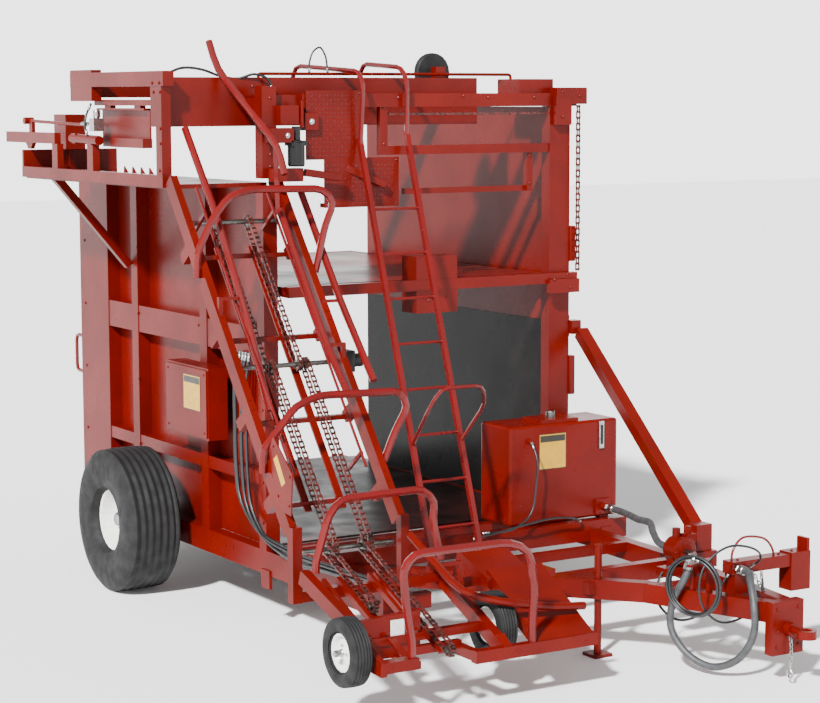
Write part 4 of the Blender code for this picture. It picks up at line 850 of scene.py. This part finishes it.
label("box_label", "control_box_door", (-2.2, 0.80, 1.55), (1, 0, 0), 0.27, 0.25, "box_door",
    YELLOW_VINYL, BLACK_VINYL)
label("tank_label", "oil_tank", (0.775, -1.6, 1.115), (0, 1, 0), 0.235, 0.255, "machine", YELLOW_VINYL,
    BLACK_VINYL)
label("guard_label", "elevator_frame", (-2.3, -1.44, 1.36), (1, 0, 0), 0.065, 0.20, "machine",
    YELLOW_VINYL, lean=(0, 0.55, 0.83))
label("pickup_label", "pickup_frame", (-1.60, -3.2, 0.49), (0, 1, 0), 0.105, 0.155, "pickup", WHITE_VINYL)


def lugs(low, high, face, step=0.029):
    """Raised lozenges in rows on a plate that faces -Y, leaning one way in odd rows and the other in
    even ones."""
    row, column = np.meshgrid(np.arange(int((high[1] - low[1]) / step)),
        np.arange(int((high[0] - low[0]) / step)), indexing="ij")
    place = np.stack([low[0] + (column + 0.5) * step, low[1] + (row + 0.5) * step], -1).reshape(-1, 1, 2)
    lean = np.where((row + column).reshape(-1, 1) % 2, 1.0, 0.35)[..., None]
    along = np.concatenate([np.ones_like(lean), lean * 1.1], -1)
    along /= np.linalg.norm(along, axis=-1, keepdims=True)
    across = np.stack([-along[..., 1], along[..., 0]], -1)
    shape = np.array([(-0.5, 0.0), (0.0, -0.16), (0.5, 0.0), (0.0, 0.16)]) * step * 0.92
    flat = place + along * shape[None, :, :1] + across * shape[None, :, 1:]
    count = len(flat)
    bottom = np.insert(flat, 1, face + 0.0005, axis=2)
    top = np.insert(place + (flat - place) * 0.72, 1, face - 0.0022, axis=2)
    points = np.stack([bottom, top], 1).reshape(-1, 3)
    base = np.arange(count)[:, None] * 8
    k = np.arange(4)
    sides = np.stack([k, (k + 1) % 4, 4 + (k + 1) % 4, 4 + k], -1)
    faces = (base[:, :, None] + sides[None]).reshape(-1, 4).tolist()
    faces += (base + k[None]).tolist() + (base + 4 + k[None]).tolist()
    return points, faces


made("tread_plate_lugs", [lugs((-0.932, 3.215), (-0.512, 3.664), -0.012),
    lugs((-0.792, 2.884), (-0.213, 3.196), -0.013)], TUBE_ENAMEL, "machine")

# %% [markdown]
# ## Fittings of the overhead frame
#
# Above the elevator sit the parts that trip and guide a bale: two thin hold-down rods beside the
# chains, a switch box, a small motor and a short step. They are bars, rods and boxes, so they are
# built straight from their corners.

# %% Overhead fittings and hold-down rods
rods = []
for x, top in ((-1.78, 0.03), (-1.27, 0.03)):
    rods.append(tube(np.linspace(on_rail(-1.30, x, 0.075), on_rail(top, x, 0.075), 24), 0.0095, 10))
    for y in (-1.24, -0.10):
        rods.append(bar(on_rail(y, x, -0.13), on_rail(y, x, 0.08), 0.022, 0.022))
made("hold_down_rods", rods, TUBE_ENAMEL, "machine")
boxes = [
    block((-1.27, -0.14, 3.32), (-1.10, -0.035, 3.42)),
    block((-1.26, -0.045, 3.34), (-1.13, 0.03, 3.40)),
    bar((-1.00, -0.10, 3.12), (-0.72, -0.10, 3.08), 0.05, 0.05),
    block((-1.24, -0.12, 3.06), (-1.02, -0.02, 3.15)),
    bar((-1.0, -0.06, 3.60), (-1.0, -0.06, 3.42), 0.02, 0.03),
    block((-0.97, -0.05, 3.40), (-0.86, 0.03, 3.52)),
    bar((-0.62, 0.0, 3.14), (-0.34, -0.06, 3.02), 0.03, 0.05),
]
made("switch_box_and_step", boxes, ENAMEL, "machine", bevel=0.004)
made("switch_box_bolts", bolt((-1.15, -0.14, 3.37), (0, -1, 0), 0.014) + bolt((-0.915, -0.05, 3.46),
    (0, -1, 0), 0.016), ZINC, "machine")
motor = [
    turned([(0.05, 0.0), (0.058, 0.01), (0.058, 0.16), (0.05, 0.17), (0.03, 0.18)],
        (-1.06, -0.09, 3.16), (0, 0, 1), 24),
    block((-1.12, -0.14, 3.30), (-1.0, -0.04, 3.335)),
    turned([(0.03, 0.0), (0.03, 0.10)], (-1.06, -0.09, 3.33), (0, 0, 1), 16),
]
made("trip_motor", motor, BLACK_ENAMEL, "machine")
made("rear_guard_box", [block((-1.68, 2.40, 3.235), (-1.52, 2.63, 3.50)), bar((-1.60, 2.50, 3.24),
    (-1.60, 2.50, 3.06), 0.05, 0.05)], ENAMEL, "machine", bevel=0.004)
made("right_edge_tabs", [block((1.268, -0.02, 2.42), (1.315, 0.04, 2.68)), block((1.268, -0.02, 1.43),
    (1.315, 0.04, 1.72))], ENAMEL, "machine", bevel=0.006)
made(
    "valve_bank_on_pusher_rail",
    [block((-1.96, 1.22, 3.39), (-1.88, 1.30, 3.48))]
    + [turned([(0.014, 0.0), (0.014, 0.10)], (-1.92, y, 3.44), (0, 1, 0), 12) for y in (1.30, 1.42)]
    + [turned([(0.02, 0.0), (0.026, 0.01), (0.026, 0.05), (0.02, 0.06)], (-1.92, 1.26, 3.48), (0, 0, 1),
        12)],
    ZINC,
    "machine",
)

# %% [markdown]
# ## Tank and tongue fittings
#
# The tank has a sight gauge, a breather and a hose down its side. The drawbar carries the pump with
# its bolted cover, a jack handle, a strap over the cross bar, loops of thin hose and the hook chain.

# %% Tank gauge, pump cover and drawbar chain
gauge_place = first_hit("oil_tank", (1.20, -1.6, 1.20), (0, 1, 0))[0]
made("sight_gauge_frame", [block(gauge_place + (-0.022, -0.014, -0.10), gauge_place + (0.022, 0.001,
    0.10))], ZINC, "machine", bevel=0.003)
made("sight_gauge_glass", [block(gauge_place + (-0.010, -0.018, -0.07), gauge_place + (0.010, -0.012,
    0.07))], BLACK_ENAMEL, "machine", bevel=0.002)
pump_parts = [turned([(0.094, 0.0), (0.094, 0.012), (0.086, 0.016)], (0.76, -2.011, 0.66), (0, -1, 0), 24)]
for turn in np.arange(6) * np.pi / 3:
    pump_parts += bolt((0.76 + 0.074 * np.cos(turn), -2.024, 0.66 + 0.074 * np.sin(turn)), (0, -1, 0),
        0.009)
pump_parts += [block((0.80, -1.99, 0.70), (0.88, -1.92, 0.76)), turned([(0.022, 0.0), (0.022, 0.05)],
    (0.84, -1.955, 0.76), (0, 0, 1), 6)]
made("pump_cover", pump_parts, ENAMEL, "machine")
strap = curve_through([(0.71, -2.55, 0.66), (0.72, -2.55, 0.76), (0.78, -2.55, 0.83),
    (0.90, -2.55, 0.835), (1.0, -2.55, 0.80), (1.06, -2.55, 0.70), (1.06, -2.55, 0.66)], 40)
made("hose_strap", [tube(strap, 0.008, 8)], TUBE_ENAMEL, "machine", 60.0)


def link(place, way, turn, long=0.032, wide=0.020, wire=0.0042):
    """One chain link: wire carried round an oval, (long cos t, wide sin t), in a plane turned about
    the chain's way."""
    way, first, second = basis(way)
    across = first * np.cos(turn) + second * np.sin(turn)
    normal = np.cross(way, across)
    t = np.linspace(0, 2 * np.pi, 16, endpoint=False)
    centre = np.asarray(place) + way * (long / 2) * np.cos(t)[:,
        None] + across * (wide / 2) * np.sin(t)[:, None]
    outwards = way * np.cos(t)[:, None] + across * np.sin(t)[:, None]
    s = np.arange(6) * np.pi / 3
    points = centre[:, None] + wire * (outwards[:, None] * np.cos(s)[:, None] + normal * np.sin(s)[:, None])
    faces = np.array(wall_faces(17, 6)) % 96
    return points.reshape(-1, 3), faces.tolist()


def link_chain(name, knots, pitch=0.024):
    """Links a pitch apart along a smooth curve, each turned a quarter from the last."""
    points = curve_through(knots, int(length_of(curve_through(knots, 100)) / pitch) + 1)
    ways = np.gradient(points, axis=0)
    return made(name, [link(point, way, (k % 2) * np.pi / 2) for k,
        (point, way) in enumerate(zip(points, ways))], ZINC, "machine", 60.0)


link_chain("hook_chain", [(0.775, -3.024, 0.36), (0.776, -3.05, 0.25), (0.775, -3.05, 0.15)])
hook = curve_through([(0.775, -3.05, 0.145), (0.775, -3.05, 0.10), (0.775, -3.07, 0.07),
    (0.775, -3.05, 0.045), (0.775, -3.02, 0.06), (0.775, -3.015, 0.09)], 30)
made("chain_hook", [tube(hook, np.linspace(0.009, 0.005, 30), 8)], ZINC, "machine", 60.0)
link_chain("safety_chain", [(0.83, -2.62, 0.62), (0.87, -2.70, 0.50), (0.90, -2.84, 0.40),
    (0.905, -2.95, 0.42), (0.90, -3.0, 0.47)])


def thin_hose(name, knots, diameter=0.015):
    """A thin hose with a crimped fitting at each end."""
    ends = fitting(knots[0], knots[1], diameter / 2, ZINC, 0.05) + fitting(knots[-1], knots[-2],
        diameter / 2, ZINC, 0.05)
    metal = made(name + "_ends", ends, ZINC, "machine")
    return hose(name, knots, diameter, BLACK_HOSE, 44, with_pieces=[metal])


thin_hose("tank_return_hose", [(0.57, -0.535, 1.20), (0.568, -0.60, 1.10), (0.555, -0.61, 0.90),
    (0.50, -0.62, 0.70), (0.36, -0.63, 0.62), (0.13, -0.575, 0.60)])
thin_hose("tank_feed_hose", [(0.98, -0.57, 0.59), (0.90, -0.62, 0.63), (0.70, -0.64, 0.66),
    (0.45, -0.64, 0.64), (0.25, -0.60, 0.60), (0.05, -0.573, 0.57)])
thin_hose("pump_hose", [(0.70, -2.02, 0.60), (0.62, -1.96, 0.52), (0.56, -1.99, 0.36),
    (0.55, -2.18, 0.27), (0.56, -2.38, 0.32), (0.60, -2.50, 0.42), (0.66, -2.53, 0.56),
    (0.71, -2.55, 0.635)], 0.017)
thin_hose("drawbar_thin_hose", [(0.80, -2.62, 0.66), (0.82, -2.70, 0.72), (0.74, -2.76, 0.80),
    (0.55, -2.72, 0.84), (0.38, -2.68, 0.72), (0.36, -2.68, 0.50), (0.50, -2.70, 0.36),
    (0.68, -2.72, 0.38), (0.84, -2.70, 0.50), (0.90, -2.62, 0.62)])
thin_hose("overhead_hoop_hose", [(-0.741, 0.30, 3.775), (-0.735, 0.30, 3.87), (-0.70, 0.30, 3.945),
    (-0.655, 0.30, 3.968), (-0.615, 0.30, 3.92), (-0.597, 0.30, 3.84), (-0.592, 0.30, 3.775)], 0.014)
thin_hose("overhead_loose_hose", [(-1.84, 0.30, 3.775), (-1.72, 0.30, 3.82), (-1.56, 0.30, 3.81),
    (-1.44, 0.29, 3.77), (-1.32, 0.26, 3.75), (-1.20, 0.22, 3.78), (-1.12, 0.20, 3.75),
    (-1.08, 0.18, 3.66)], 0.018)
thin_hose("pusher_hose_front", [(-1.90, 1.40, 3.585), (-1.93, 1.42, 3.50), (-1.95, 1.40, 3.44),
    (-1.96, 1.34, 3.36)], 0.016)

# %% [markdown]
# ## Floor, light and room
#
# The floor is plain and pale so that only the machine has colour. One far, softened lamp stands high
# on the left, so that beams throw shadows on the panels behind them and the floor is lit evenly to
# its edge. The white room, brightest near the floor, fills the shade from all round.

# %% Floor and lights
floor_mesh = bpy.data.meshes.new("floor")
REACH = 60.0
corners = [(-REACH, -REACH, 0), (REACH, -REACH, 0), (REACH, REACH, 0), (-REACH, REACH, 0)]
floor_mesh.from_pydata(corners, [], [(0, 1, 2, 3)])
floor_mesh.materials.append(coating("pale_studio_floor", "FBFBFB", "F9F9F9", 2.0, 0.01, (0.8, 0.9), 0.01))
floor = bpy.data.objects.new("floor", floor_mesh)
bpy.context.scene.collection.objects.link(floor)


key = bpy.data.lights.new("key", "SUN")
key.angle = np.radians(4.0)
key.energy = 11.0
key_lamp = bpy.data.objects.new("key", key)
bpy.context.scene.collection.objects.link(key_lamp)
key_lamp.rotation_euler = Vector((0.64, 0.46, -0.62)).to_track_quat("-Z", "Y").to_euler()
room = bpy.data.worlds.new("room")
room.use_nodes = True
sky = room.node_tree
height = add(sky, "ShaderNodeSeparateXYZ",
    {"Vector": add(sky, "ShaderNodeTexCoord").outputs["Generated"]}).outputs["Z"]
glow = add(sky, "ShaderNodeMapRange", {0: height, 1: 0.05, 2: 0.45, 3: 3.2, 4: 0.55})
sky.nodes["Background"].inputs["Color"].default_value = (1.0, 1.0, 1.0, 1.0)
sky.links.new(glow.outputs[0], sky.nodes["Background"].inputs["Strength"])
bpy.context.scene.world = room
